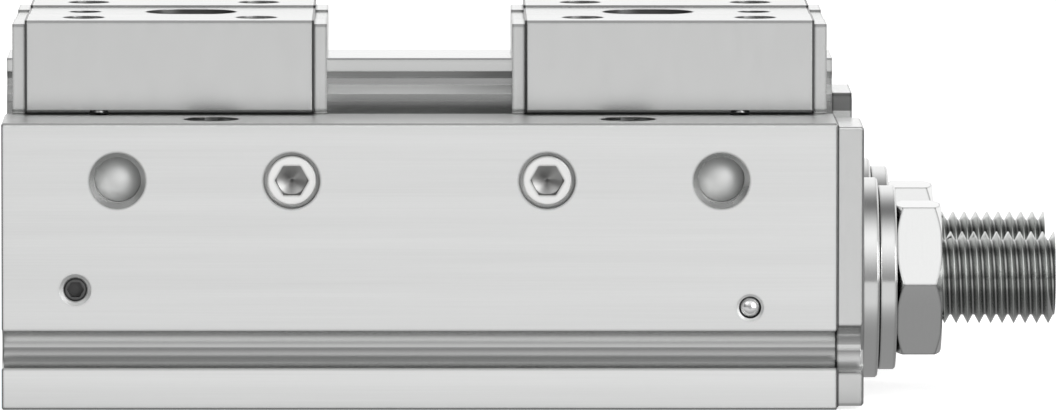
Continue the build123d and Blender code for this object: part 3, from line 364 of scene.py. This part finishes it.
FINISH = {
    # Painted shade: darker all over but the outer faces, and darker still in the sensor slot, on the lip
    # tops, inside the lips, on the chamfers, in corners and along edges. The strip along the foot has a
    # painted highlight.
    "clear_anodised": metal(
        "Brushed anodised aluminium", (0.91, 0.915, 0.91), (0.83, 0.835, 0.83), (0.46, 0.52),
        brushed, (25, 2600, 2600), bump=0.12, extra={"Contrast": 0.9},
        painted_layers=[(None, 0.84, 0.24), (SHADED_SLOT_MIDDLE, 0.56, 0.24), (SHADED_LIP_TOPS, 0.92, 0.34),
                (HOUSING_OUTSIDE, 1.0, None), (LIT_FOOT_STRIP, 1.12, None), (SHADED_INSIDE_THE_LIPS, 0.45, 0.3)],
        rims=HOUSING_RIMS, rim_painted_shade=0.7, corner=0.3, reach=0.8, alone=True, line=0.35),
    # Painted shade on the tongue's sides, in the notches, on the rim, in corners and along edges, and a
    # painted highlight along the top of the cap.
    "cap_anodised": metal(
        "Milled anodised aluminium", (0.93, 0.935, 0.93), (0.88, 0.885, 0.88), (0.24, 0.28),
        brushed, (600, 900, 300), bump=0.04,
        painted_layers=[(SHADED_TONGUE_SIDES, 0.3, 0.3), (TONGUE_TOP, 1.0, None), (LIT_CAP_TOP, 1.06, None),
                (SHADED_CAP_NOTCHES, 0.62, 0.2)],
        rims=CAP_RIM, rim_painted_shade=0.7, corner=0.3, reach=0.5, line=0.35),
    # Painted shade at the jaw's ends beside the plates, inside the jaws, in corners within 6 mm and along
    # edges.
    "jaw_steel": metal(
        "Ground jaw steel", (0.93, 0.935, 0.93), (0.87, 0.875, 0.87), (0.22, 0.26),
        brushed, (300, 700, 120), bump=0.04,
        painted_layers=[(SHADED_JAW_SEAMS, 0.2, None), (SHADED_INSIDE_THE_JAWS, 0.3, 0.3)],
        corner=0.4, reach=6.0, line=0.6),
    # Painted shade in corners and along edges.
    "plate_steel": metal(
        "Ground plate steel", (0.92, 0.925, 0.92), (0.86, 0.865, 0.86), (0.22, 0.26),
        brushed, (300, 700, 120), bump=0.04, corner=0.3, reach=0.8, line=0.55),
    # Painted shade over the rail but its head and flare, darkest in the undercut, and in corners and along
    # edges.
    "rail_steel": metal(
        "Ground rail steel", (0.86, 0.865, 0.86), (0.80, 0.805, 0.80), (0.14, 0.18),
        brushed, (20, 3000, 3000), bump=0.05,
        painted_layers=[(None, 0.62, 0.18), (SHADED_RAIL_UNDERCUT, 0.36, 0.18), (RAIL_HEAD_AND_FLARE, 1.0, None)],
        rims=RAIL_FLARE, rim_rough=0.5, corner=0.9, reach=0.8, alone=True, line=0.7),
    # Painted shade in corners, between the rings, washers and nuts, and along their edges.
    "turned_steel": metal(
        "Turned plated steel", (0.90, 0.905, 0.90), (0.86, 0.865, 0.86), (0.12, 0.14),
        turned, (1, 1, 1), centre=BORE_CENTRE, edge=0.35, bump=0.02, corner=0.15, reach=0.9, line=0.1),
    # Painted shade in the roots of the thread.
    "stud_steel": metal(
        "Rolled thread steel", (0.70, 0.71, 0.70), (0.62, 0.63, 0.62), (0.13, 0.16),
        turned, (1, 1, 1), centre=BORE_CENTRE, edge=0.05, bump=0.02, corner=0.25, reach=1.4, alone=True),
    # Painted shade over the plug but its front face, which darkens the key socket, and in corners and along
    # edges.
    "plug_steel": metal(
        "Nickel-plated steel", (0.99, 0.99, 0.98), (0.96, 0.96, 0.95), (0.50, 0.56),
        brushed, (900, 900, 900), bump=0.03, painted_layers=[(None, 0.40, 0.36), (PLUG_FACES, 1.0, None)],
        corner=0.25, reach=0.6, line=0.5),
    "screw_steel": metal(
        "Blackened screw steel", (0.16, 0.16, 0.16), (0.10, 0.10, 0.10), (0.34, 0.46),
        brushed, (900, 900, 900)),
    "spring_steel": metal(
        "Phosphated spring steel", (0.15, 0.15, 0.15), (0.09, 0.09, 0.09), (0.36, 0.50),
        brushed, (1200, 1200, 1200)),
    "ball_steel": metal(
        "Polished ball steel", (0.88, 0.88, 0.88), (0.84, 0.84, 0.84), (0.10, 0.14),
        brushed, (700, 700, 700), bump=0.0),
    "piston_aluminium": metal(
        "Turned piston aluminium", (0.74, 0.75, 0.75), (0.66, 0.67, 0.67), (0.26, 0.34),
        turned, (1, 1, 1), centre=BORE_CENTRE),
    "gear_steel": metal(
        "Hardened gear steel", (0.42, 0.42, 0.43), (0.34, 0.34, 0.35), (0.24, 0.34),
        brushed, (700, 700, 2400)),
    "bush_bronze": metal(
        "Sintered bronze", (0.62, 0.42, 0.20), (0.48, 0.31, 0.14), (0.38, 0.50),
        brushed, (2500, 2500, 2500), bump=0.2),
}
# Painted shade: the wall of the bracket holes is darker than the housing, and darker in corners.
SHADED_BORE_WALL = metal("Anodised bore wall with painted shade", (0.66, 0.665, 0.66), (0.62, 0.625, 0.62), (0.26, 0.30),
              brushed, (900, 900, 900), bump=0.03, corner=0.4, reach=0.6)
# Painted shade round the edge of the dome in the bracket holes.
SATIN_BALL = metal("Satin ball steel", (0.88, 0.885, 0.88), (0.84, 0.845, 0.84), (0.58, 0.62),
                   brushed, (500, 500, 500), bump=0.02, corner=0.6, reach=3.0)
print("metals:", ", ".join(sorted(FINISH)))

# %% [markdown]
# ## Rubber and plastic
#
# The seals, wipers and bumpers are black moulded rubber, and the guide bands and magnets are filled
# plastics. None of them is a metal, so the same recipe is used with the metallic value at zero, a dark
# colour and a high roughness, and a grain that is the same in all directions.

# %% Rubber and plastics
FINISH["black_rubber"] = metal("Moulded black rubber", (0.035, 0.035, 0.035), (0.018, 0.018, 0.018),
                               (0.55, 0.72), brushed, (1800, 1800, 1800), bump=0.3, metallic=0.0)
FINISH["bearing_plastic"] = metal("Filled bearing strip", (0.17, 0.19, 0.14), (0.11, 0.12, 0.09),
                                  (0.45, 0.60), brushed, (1500, 1500, 1500), bump=0.15, metallic=0.0)
FINISH["magnet_compound"] = metal("Bonded magnet", (0.07, 0.07, 0.075), (0.045, 0.045, 0.05),
                                  (0.50, 0.62), brushed, (2000, 2000, 2000), bump=0.2, metallic=0.0)
slot_of = {part["node"]: part["material_slot"] for part in frame["record"]["subparts"]}
for name, node in nodes.items():
    if not node.material_slots:
        node.data.materials.append(None)
    for entry in node.material_slots:
        entry.link = "OBJECT"
        entry.material = FINISH[slot_of[name]]
print("finished", len(nodes), "machined pieces")

# %% [markdown]
# ## The threaded studs
#
# The studs have an M20 thread with a pitch of 2.5 mm. A thread is one tooth of the right pitch, swept round
# the axis while it moves along it. The tooth is drawn as a chain of edges, extruded from one vertex, and the
# Screw modifier sweeps it. The helix is longer than the stud at both ends, and two bisecting planes cut it
# off square and close it, as a parting tool would.

# %% Sweep the thread
PITCH = 2.5 * MM
CREST = 9.95 * MM
ROOT = 8.12 * MM
STUD_START, STUD_TIP = 89.4 * MM, 138.0 * MM
LAST_CREST = 136.74 * MM
THREAD_TURNS, THREAD_STEPS = 23, 72


def trace(name, points):
    """An open chain of edges through the points, drawn by extruding one vertex."""
    clear_selection()
    bpy.ops.mesh.primitive_plane_add(size=MM, location=points[0])
    line = bpy.context.object
    line.name = name
    bpy.ops.object.mode_set(mode="EDIT")
    bpy.ops.mesh.select_mode(type="VERT")
    bpy.ops.mesh.select_all(action="SELECT")
    bpy.ops.mesh.merge(type="CENTER")
    for before, after in zip(points, points[1:]):
        step = [b - a for a, b in zip(before, after)]
        bpy.ops.mesh.extrude_region_move(TRANSFORM_OT_translate={"value": step})
    bpy.ops.object.mode_set(mode="OBJECT")
    return settle(line)


def sweep(line, pitch, turns, steps):
    """Turn a chain of edges round the X axis while it moves along it."""
    screw = line.modifiers.new("Sweep", "SCREW")
    screw.axis = "X"
    screw.screw_offset = pitch
    screw.iterations = turns
    screw.steps = screw.render_steps = steps
    screw.use_merge_vertices = True
    screw.merge_threshold = 0.001 * MM
    apply_modifier(line, "Sweep")
    pick(line)
    bpy.ops.object.mode_set(mode="EDIT")
    bpy.ops.mesh.select_all(action="SELECT")
    bpy.ops.mesh.remove_doubles(threshold=0.002 * MM)
    bpy.ops.object.mode_set(mode="OBJECT")
    return line


def tooth(start, crest_flat=0.06, root_flat=0.14):
    """One pitch of the stud's tooth, from root to root."""
    flank = (1 - crest_flat - root_flat) / 2
    marks = [(0, ROOT), (root_flat / 2, ROOT), (root_flat / 2 + flank, CREST),
             (root_flat / 2 + flank + crest_flat, CREST), (1 - root_flat / 2, ROOT), (1, ROOT)]
    return [(start + part * PITCH, 0, height) for part, height in marks]


thread_start = LAST_CREST - PITCH / 2 - 20 * PITCH - PITCH / 2
stud = sweep(trace("front_stud", tooth(thread_start)), PITCH, THREAD_TURNS, THREAD_STEPS)
print("swept thread:", len(stud.data.polygons), "faces")

# %% Cut the stud to length and close it
pick(stud)
bpy.ops.object.mode_set(mode="EDIT")
for place, outward in ((STUD_TIP, 1), (STUD_START, -1)):
    bpy.ops.mesh.select_all(action="SELECT")
    bpy.ops.mesh.bisect(plane_co=(place, 0, 0), plane_no=(outward, 0, 0), use_fill=True, clear_outer=True,
                        threshold=0.0001 * MM)
bpy.ops.mesh.select_all(action="SELECT")
bpy.ops.mesh.normals_make_consistent(inside=False)
bpy.ops.object.mode_set(mode="OBJECT")
print("stud faces:", len(stud.data.polygons))

# %% [markdown]
# The stud is turned with a hexagon key from its outer end. The socket is a six-sided prism with a drilled
# point, cut out with a Boolean modifier.

# %% Cut the key socket
KEY_WIDTH, SOCKET_DEPTH, POINT_DEPTH = 10.0 * MM, 8.0 * MM, 2.2 * MM
clear_selection()
bpy.ops.mesh.primitive_cylinder_add(vertices=6, radius=KEY_WIDTH / 2 / math.cos(math.radians(30)),
                                    depth=2 * SOCKET_DEPTH, location=(STUD_TIP, 0, 0),
                                    rotation=(0, math.radians(90), 0))
key = bpy.context.object
bpy.ops.object.mode_set(mode="EDIT")
bpy.ops.mesh.select_mode(type="FACE")
bpy.ops.mesh.select_all(action="DESELECT")
bpy.ops.object.mode_set(mode="OBJECT")
inner = min(key.data.polygons, key=lambda face: (key.matrix_world @ face.center).x)
inner.select = True
bpy.ops.object.mode_set(mode="EDIT")
bpy.ops.mesh.inset(thickness=0.4 * MM)
bpy.ops.mesh.extrude_region_move(TRANSFORM_OT_translate={"value": (-POINT_DEPTH, 0, 0)})
bpy.ops.mesh.merge(type="CENTER")
bpy.ops.object.mode_set(mode="OBJECT")
settle(key)
cut = stud.modifiers.new("Socket", "BOOLEAN")
cut.operation = "DIFFERENCE"
cut.solver = "EXACT"
cut.object = key
apply_modifier(stud, "Socket")
bpy.data.objects.remove(key)
print("stud with socket:", len(stud.data.polygons), "faces")

# %% Shade the stud, copy it and put both on their axes
pick(stud)
bpy.ops.object.shade_smooth_by_angle(angle=math.radians(28))
AXIS_Y, AXIS_Z = 26 * MM, 26 * MM
rear_stud = copy_to(stud, "rear_stud", (0, AXIS_Y, AXIS_Z))
stud.location = (0, -AXIS_Y, AXIS_Z)
settle(stud)
for piece, end_name in ((stud, "front"), (rear_stud, "rear")):
    piece.data.materials.clear()
    piece.data.materials.append(FINISH["stud_steel"])
    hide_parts(f"{end_name}_stop_stud")
    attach(piece, f"{end_name}_stud_unit")
print("studs:", stud.name, rear_stud.name)

# %% [markdown]
# ## Threads in the tapped holes
#
# The tapped holes for fingers, brackets and base screws are plain in the machine model. A tap leaves a ridge
# that winds down the wall. The ridge is a triangle, swept down the hole, with its two ends closed. It is
# modelled once for each thread size and copied to each hole, so every hole has the same real pitch.

# %% A ridge for one hole
RIDGE_SHARE, RIDGE_STEPS = 0.42, 28


def ridge(name, wall, pitch, length, height):
    """A wound ridge on a wall of that radius round the X axis, from X = 0 to X = length."""
    turns = int(length / pitch)
    half = RIDGE_SHARE * pitch
    points = [(0, 0, wall), (half, 0, wall - height), (2 * half, 0, wall), (0, 0, wall)]
    line = trace(name, points)
    pick(line)
    bpy.ops.object.mode_set(mode="EDIT")
    bpy.ops.mesh.select_all(action="SELECT")
    bpy.ops.mesh.remove_doubles(threshold=0.002 * MM)
    bpy.ops.object.mode_set(mode="OBJECT")
    coil = sweep(line, pitch, turns, RIDGE_STEPS)
    pick(coil)
    bpy.ops.object.mode_set(mode="EDIT")
    bpy.ops.mesh.select_all(action="SELECT")
    bpy.ops.mesh.fill_holes(sides=3)
    bpy.ops.mesh.select_all(action="SELECT")
    bpy.ops.mesh.normals_make_consistent(inside=False)
    bpy.ops.object.mode_set(mode="OBJECT")
    pick(coil)
    bpy.ops.object.shade_smooth_by_angle(angle=math.radians(40))
    return coil


def aim(piece, turn):
    """Turn a ridge from the X axis to the hole's own direction."""
    piece.rotation_euler = turn
    return settle(piece)


finger_ridge = aim(ridge("finger_ridge", 2.99 * MM, 1.0 * MM, 11 * MM, 0.5 * MM), (0, math.radians(90), 0))
lip_ridge = aim(ridge("lip_ridge", 4.99 * MM, 1.5 * MM, 11 * MM, 0.8 * MM), (0, math.radians(90), 0))
base_ridge = aim(ridge("base_ridge", 3.99 * MM, 1.25 * MM, 8.5 * MM, 0.65 * MM), (0, math.radians(-90), 0))
print("ridges:", finger_ridge.name, lip_ridge.name, base_ridge.name)

# %% Copy the ridges to their holes


def spread(master, places, slot, body_of_place, finish=None):
    """Copy a piece to each place, give the copies their finish and body, and drop the first one."""
    made = []
    for k, place in enumerate(places):
        piece = copy_to(master, f"{master.name}_{k + 1}", place)
        piece.data.materials.clear()
        piece.data.materials.append(finish or FINISH[slot])
        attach(piece, body_of_place(place))
        made.append(piece)
    bpy.data.objects.remove(master)
    return made


JAW_X, FINGER_X, FINGER_Y, FINGER_RIDGE_Z = 54.2 * MM, 18.75 * MM, 23.6 * MM, 80.2 * MM
CORNER_HOLE, LIP_RIDGE_Z, BASE_RIDGE_Z = 45 * MM, 59.3 * MM, 2.7 * MM
finger_places = [(side * JAW_X + dx * FINGER_X, dy * FINGER_Y, FINGER_RIDGE_Z)
                 for side in SIDES for dx in SIDES for dy in SIDES]
corner_places = [(x * CORNER_HOLE, y * CORNER_HOLE) for x in SIDES for y in SIDES]
made = spread(finger_ridge, finger_places, "jaw_steel",
              lambda place: "left_jaw_unit" if place[0] < 0 else "right_jaw_unit")
made += spread(lip_ridge, [(x, y, LIP_RIDGE_Z) for x, y in corner_places], "clear_anodised",
               lambda place: "housing_unit")
made += spread(base_ridge, [(x, y, BASE_RIDGE_Z) for x, y in corner_places], "clear_anodised",
               lambda place: "housing_unit")
print("threaded holes:", len(made))

# %% [markdown]
# The two bracket holes in the front face have a wide bevelled mouth and a smooth wall. A short cylinder,
# narrowed at its inner end, drawn deeper and given a wall thickness, lines each of them. Its metal is darker
# than the housing's, a painted shade.

# %% Line the bracket holes
MOUTH, BORE, WALL_DEPTH = 5.96 * MM, 5.06 * MM, 2.0 * MM
BRACKET_X, BRACKET_Z, LINER_Y = 65 * MM, 49.6 * MM, -56.97 * MM
clear_selection()
bpy.ops.mesh.primitive_cylinder_add(vertices=96, radius=MOUTH, depth=MOUTH - BORE, end_fill_type="NOTHING",
                                    location=(0, (MOUTH - BORE) / 2, 0), rotation=(math.radians(90), 0, 0))
side_liner = bpy.context.object
side_liner.name = "side_liner"
settle(side_liner)
bpy.ops.object.mode_set(mode="EDIT")
bpy.ops.mesh.select_mode(type="VERT")
bpy.ops.mesh.select_all(action="DESELECT")
bpy.ops.object.mode_set(mode="OBJECT")
for corner in side_liner.data.vertices:
    corner.select = corner.co.y > 0.1 * MM
bpy.ops.object.mode_set(mode="EDIT")
bpy.ops.transform.resize(value=(BORE / MOUTH, 1, BORE / MOUTH), center_override=(0, MOUTH - BORE, 0))
bpy.ops.mesh.extrude_region_move(TRANSFORM_OT_translate={"value": (0, WALL_DEPTH, 0)})
bpy.ops.object.mode_set(mode="OBJECT")
wall = side_liner.modifiers.new("Wall", "SOLIDIFY")
wall.thickness = 0.02 * MM
wall.offset = 1
apply_modifier(side_liner, "Wall")
bpy.ops.object.shade_smooth_by_angle(angle=math.radians(25))
liners = spread(side_liner, [(x * BRACKET_X, LINER_Y, BRACKET_Z) for x in SIDES], "clear_anodised",
                lambda place: "housing_unit", SHADED_BORE_WALL)
print("lined holes:", [piece.name for piece in liners])

# %% [markdown]
# Each of these holes shows a rounded steel bottom, like a ball that is pressed in to close a cross bore. A
# sphere is cut down to a shallow dome, because only its crown can be seen, and its flat back closes it.

# %% The ball in each bracket hole
clear_selection()
DOME_RADIUS, DOME_RISE, CROWN_Y = 8.0 * MM, 1.78 * MM, -52.6 * MM
bpy.ops.mesh.primitive_uv_sphere_add(segments=96, ring_count=72, radius=DOME_RADIUS, location=(0, 0, 0),
                                     rotation=(math.radians(90), 0, 0))
side_ball = bpy.context.object
side_ball.name = "side_ball"
settle(side_ball)
bpy.ops.object.mode_set(mode="EDIT")
bpy.ops.mesh.select_all(action="SELECT")
bpy.ops.mesh.bisect(plane_co=(0, DOME_RISE - DOME_RADIUS, 0), plane_no=(0, 1, 0), use_fill=True,
                    clear_outer=True, threshold=0.0001 * MM)
bpy.ops.object.mode_set(mode="OBJECT")
bpy.ops.object.shade_smooth_by_angle(angle=math.radians(40))
balls = spread(side_ball, [(x * BRACKET_X, CROWN_Y + DOME_RADIUS, BRACKET_Z) for x in SIDES],
               "ball_steel", lambda place: "housing_unit", SATIN_BALL)
print("balls:", [piece.name for piece in balls])

# %% [markdown]
# ## The joint between housing and end cap
#
# A thin flat gasket seals the end cap. Only its edge shows, as a dark line round the joint. The cap's outline
# is a little smaller than the housing's, so the line lies in the corner between them. It is drawn as a chain
# of edges round the cap, turned into a curve and given a round section.

# %% The gasket's edge
CAP_OUTLINE = [(-29.9, 61.3), (-56.3, 61.3), (-56.3, 18.3), (-52.6, 17.4), (-51.0, 13.1), (-52.6, 8.8),
               (-56.3, 7.9), (-56.3, 0.7), (56.3, 0.7), (56.3, 7.9), (52.6, 8.8), (51.0, 13.1), (52.6, 17.4),
               (56.3, 18.3), (56.3, 61.3), (29.9, 61.3)]
JOINT_X, GASKET_RADIUS = 90.12 * MM, 0.14 * MM
gasket = trace("gasket_edge", [(JOINT_X, y * MM, z * MM) for y, z in CAP_OUTLINE])
pick(gasket)
bpy.ops.object.convert(target="CURVE")
gasket.data.bevel_depth = GASKET_RADIUS
gasket.data.bevel_resolution = 2
gasket.data.use_fill_caps = True
bpy.ops.object.convert(target="MESH")
bpy.ops.object.shade_smooth_by_angle(angle=math.radians(50))
gasket.data.materials.clear()
gasket.data.materials.append(FINISH["black_rubber"])
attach(gasket, "housing_unit")
print("gasket edge:", len(gasket.data.polygons), "faces")

# %% [markdown]
# ## Floor, light and camera
#
# The photograph has a pure white background. The floor is pale and takes the object's soft shadow, and a
# little glow that only the camera sees lifts it to white. In mirrored light it is dim close to the object,
# where the object shades it, and brighter further out. The world is a studio of a few large soft pieces, by
# their angle above the front horizon: a white card low in front, a greyer horizon, a broad panel high in
# front, a dark strip overhead and a white wall behind. The metals mirror them, so round pieces get a dark
# streak near their top.

# %% The floor
clear_selection()
bpy.ops.mesh.primitive_plane_add(size=14, location=(0, 0, 0))
floor = bpy.context.object
floor.name = "floor"
bpy.ops.object.mode_set(mode="EDIT")
bpy.ops.mesh.subdivide(number_cuts=3)
bpy.ops.object.mode_set(mode="OBJECT")
pale = bpy.data.materials.new("Pale studio floor")
pale.use_nodes = True
tree = pale.node_tree
shader = tree.nodes["Principled BSDF"]
shader.inputs["Roughness"].default_value = 0.9
shader.inputs["Specular IOR Level"].default_value = 0.0
rays = tree.nodes.new("ShaderNodeLightPath")
place = tree.nodes.new("ShaderNodeTexCoord")
split = tree.nodes.new("ShaderNodeSeparateXYZ")
tree.links.new(place.outputs["Object"], split.inputs[0])
mirrored = math_node(tree, "MAXIMUM", rays.outputs["Is Glossy Ray"], rays.outputs["Is Transmission Ray"])
tree.links.new(blend(tree, mirrored, 0.8, 0.0), shader.inputs["Base Color"])
SHADED_TO, LIT_FROM = 0.05, 0.10
SHADED_LEVEL, LIT_LEVEL = 0.3, 0.7
CAMERA_GLOW = 0.66
lit = tree.nodes.new("ShaderNodeMapRange")
lit.interpolation_type = "SMOOTHSTEP"
lit.inputs["From Min"].default_value = SHADED_TO
lit.inputs["From Max"].default_value = LIT_FROM
lit.inputs["To Min"].default_value = SHADED_LEVEL
lit.inputs["To Max"].default_value = LIT_LEVEL
tree.links.new(math_node(tree, "ABSOLUTE", split.outputs["Y"]), lit.inputs["Value"])
mirrored = math_node(tree, "MULTIPLY", mirrored, lit.outputs[0])
seen = math_node(tree, "MULTIPLY", rays.outputs["Is Camera Ray"], CAMERA_GLOW)
tree.links.new(math_node(tree, "ADD", seen, mirrored), shader.inputs["Emission Strength"])
shader.inputs["Emission Color"].default_value = (1, 1, 1, 1)
floor.data.materials.append(pale)
print("floor ready")

# %% The studio's bands of light
world = bpy.data.worlds.new("Studio")
bpy.context.scene.world = world
world.use_nodes = True
tree = world.node_tree
sky = tree.nodes["Background"]
place = tree.nodes.new("ShaderNodeTexCoord")
split = tree.nodes.new("ShaderNodeSeparateXYZ")
tree.links.new(place.outputs["Generated"], split.inputs[0])
frontward = math_node(tree, "MULTIPLY", split.outputs["Y"], -1.0)
angle = math_node(tree, "ARCTAN2", split.outputs["Z"], frontward)
turn = math_node(tree, "MULTIPLY", angle, 1 / (2 * math.pi))
bands = tree.nodes.new("ShaderNodeValToRGB")
bands.color_ramp.interpolation = "EASE"
tree.links.new(math_node(tree, "ADD", turn, 0.5), bands.inputs["Fac"])
WALL_BELOW, FLOOR_BELOW, LOW_CARD, HORIZON = (-180, 1.0), (-90, 0.3), (-40, 0.8), (0, 0.3)
SOFT_PANEL, DARK_STRIP, BACK_WALL, WALL_ABOVE = (50, 1.0), (98, 0.2), (150, 0.95), (180, 1.0)
STUDIO = [WALL_BELOW, FLOOR_BELOW, LOW_CARD, HORIZON, SOFT_PANEL, DARK_STRIP, BACK_WALL, WALL_ABOVE]
stops = bands.color_ramp.elements
while len(stops) < len(STUDIO):
    stops.new(0.5)
for stop, (degrees, level) in zip(stops, STUDIO):
    stop.position = degrees / 360 + 0.5
    stop.color = (level, level, level, 1)
level = bands.outputs["Color"]
RIGHT_WALL, LEFT_WALL = (1.0, 0.75), (-1.0, 0.18)
for direction, brightness in (RIGHT_WALL, LEFT_WALL):
    aside = tree.nodes.new("ShaderNodeMapRange")
    aside.interpolation_type = "SMOOTHSTEP"
    aside.inputs["From Min"].default_value = 0.55
    aside.inputs["From Max"].default_value = 0.92
    tree.links.new(math_node(tree, "MULTIPLY", split.outputs["X"], direction), aside.inputs["Value"])
    side_mix = tree.nodes.new("ShaderNodeMix")
    side_mix.data_type = "RGBA"
    side_mix.inputs["B"].default_value = (brightness, brightness, brightness, 1)
    tree.links.new(aside.outputs[0], side_mix.inputs["Factor"])
    tree.links.new(level, side_mix.inputs["A"])
    level = side_mix.outputs["Result"]
tree.links.new(level, sky.inputs["Color"])
sky.inputs["Strength"].default_value = 1.0
SOFTBOX, SOFTBOX_GAIN = (0.62, -0.74, 0.26), 5.6
towards = tree.nodes.new("ShaderNodeVectorMath")
towards.operation = "DOT_PRODUCT"
towards.inputs[1].default_value = SOFTBOX
tree.links.new(place.outputs["Generated"], towards.inputs[0])
box = tree.nodes.new("ShaderNodeMapRange")
box.interpolation_type = "SMOOTHSTEP"
box.inputs["From Min"].default_value = math.cos(math.radians(30))
box.inputs["From Max"].default_value = math.cos(math.radians(16))
box.inputs["To Min"].default_value = 1.0
box.inputs["To Max"].default_value = SOFTBOX_GAIN
tree.links.new(towards.outputs["Value"], box.inputs["Value"])
tree.links.new(box.outputs[0], sky.inputs["Strength"])
print("pieces of the studio:", len(STUDIO))

# %% A soft key light


def soft_light(name, place, target, size, power):
    clear_selection()
    bpy.ops.object.light_add(type="AREA", location=place)
    lamp = bpy.context.object
    lamp.name = name
    lamp.data.shape = "SQUARE"
    lamp.data.size = size
    lamp.data.energy = power
    way = [t - p for t, p in zip(target, place)]
    flat = math.hypot(way[0], way[1])
    lamp.rotation_euler = (math.atan2(flat, -way[2]), 0, math.atan2(-way[0], way[1]))
    return lamp


key_light = soft_light("key", (-0.9, -1.0, 1.3), (0, 0, 0.04), 0.9, 2.0)
print("key light:", key_light.data.energy, "W")

# %% The camera
CAMERA_PITCH, SENSOR_WIDTH = 4.838, 36
FOCAL_PIXELS, FRAME_PIXELS = 14000, 1056
clear_selection()
bpy.ops.object.camera_add(location=(0, -3.0585, 0.29844),
                          rotation=(math.radians(90 - CAMERA_PITCH), 0, 0))
camera = bpy.context.object
camera.data.sensor_width = SENSOR_WIDTH
camera.data.lens = SENSOR_WIDTH * FOCAL_PIXELS / FRAME_PIXELS
camera.data.shift_x = 0.10275
camera.data.clip_start = 0.1
camera.data.clip_end = 50
bpy.context.scene.camera = camera
bpy.context.scene.view_settings.view_transform = "Standard"
print("camera at", [round(c, 3) for c in camera.location])
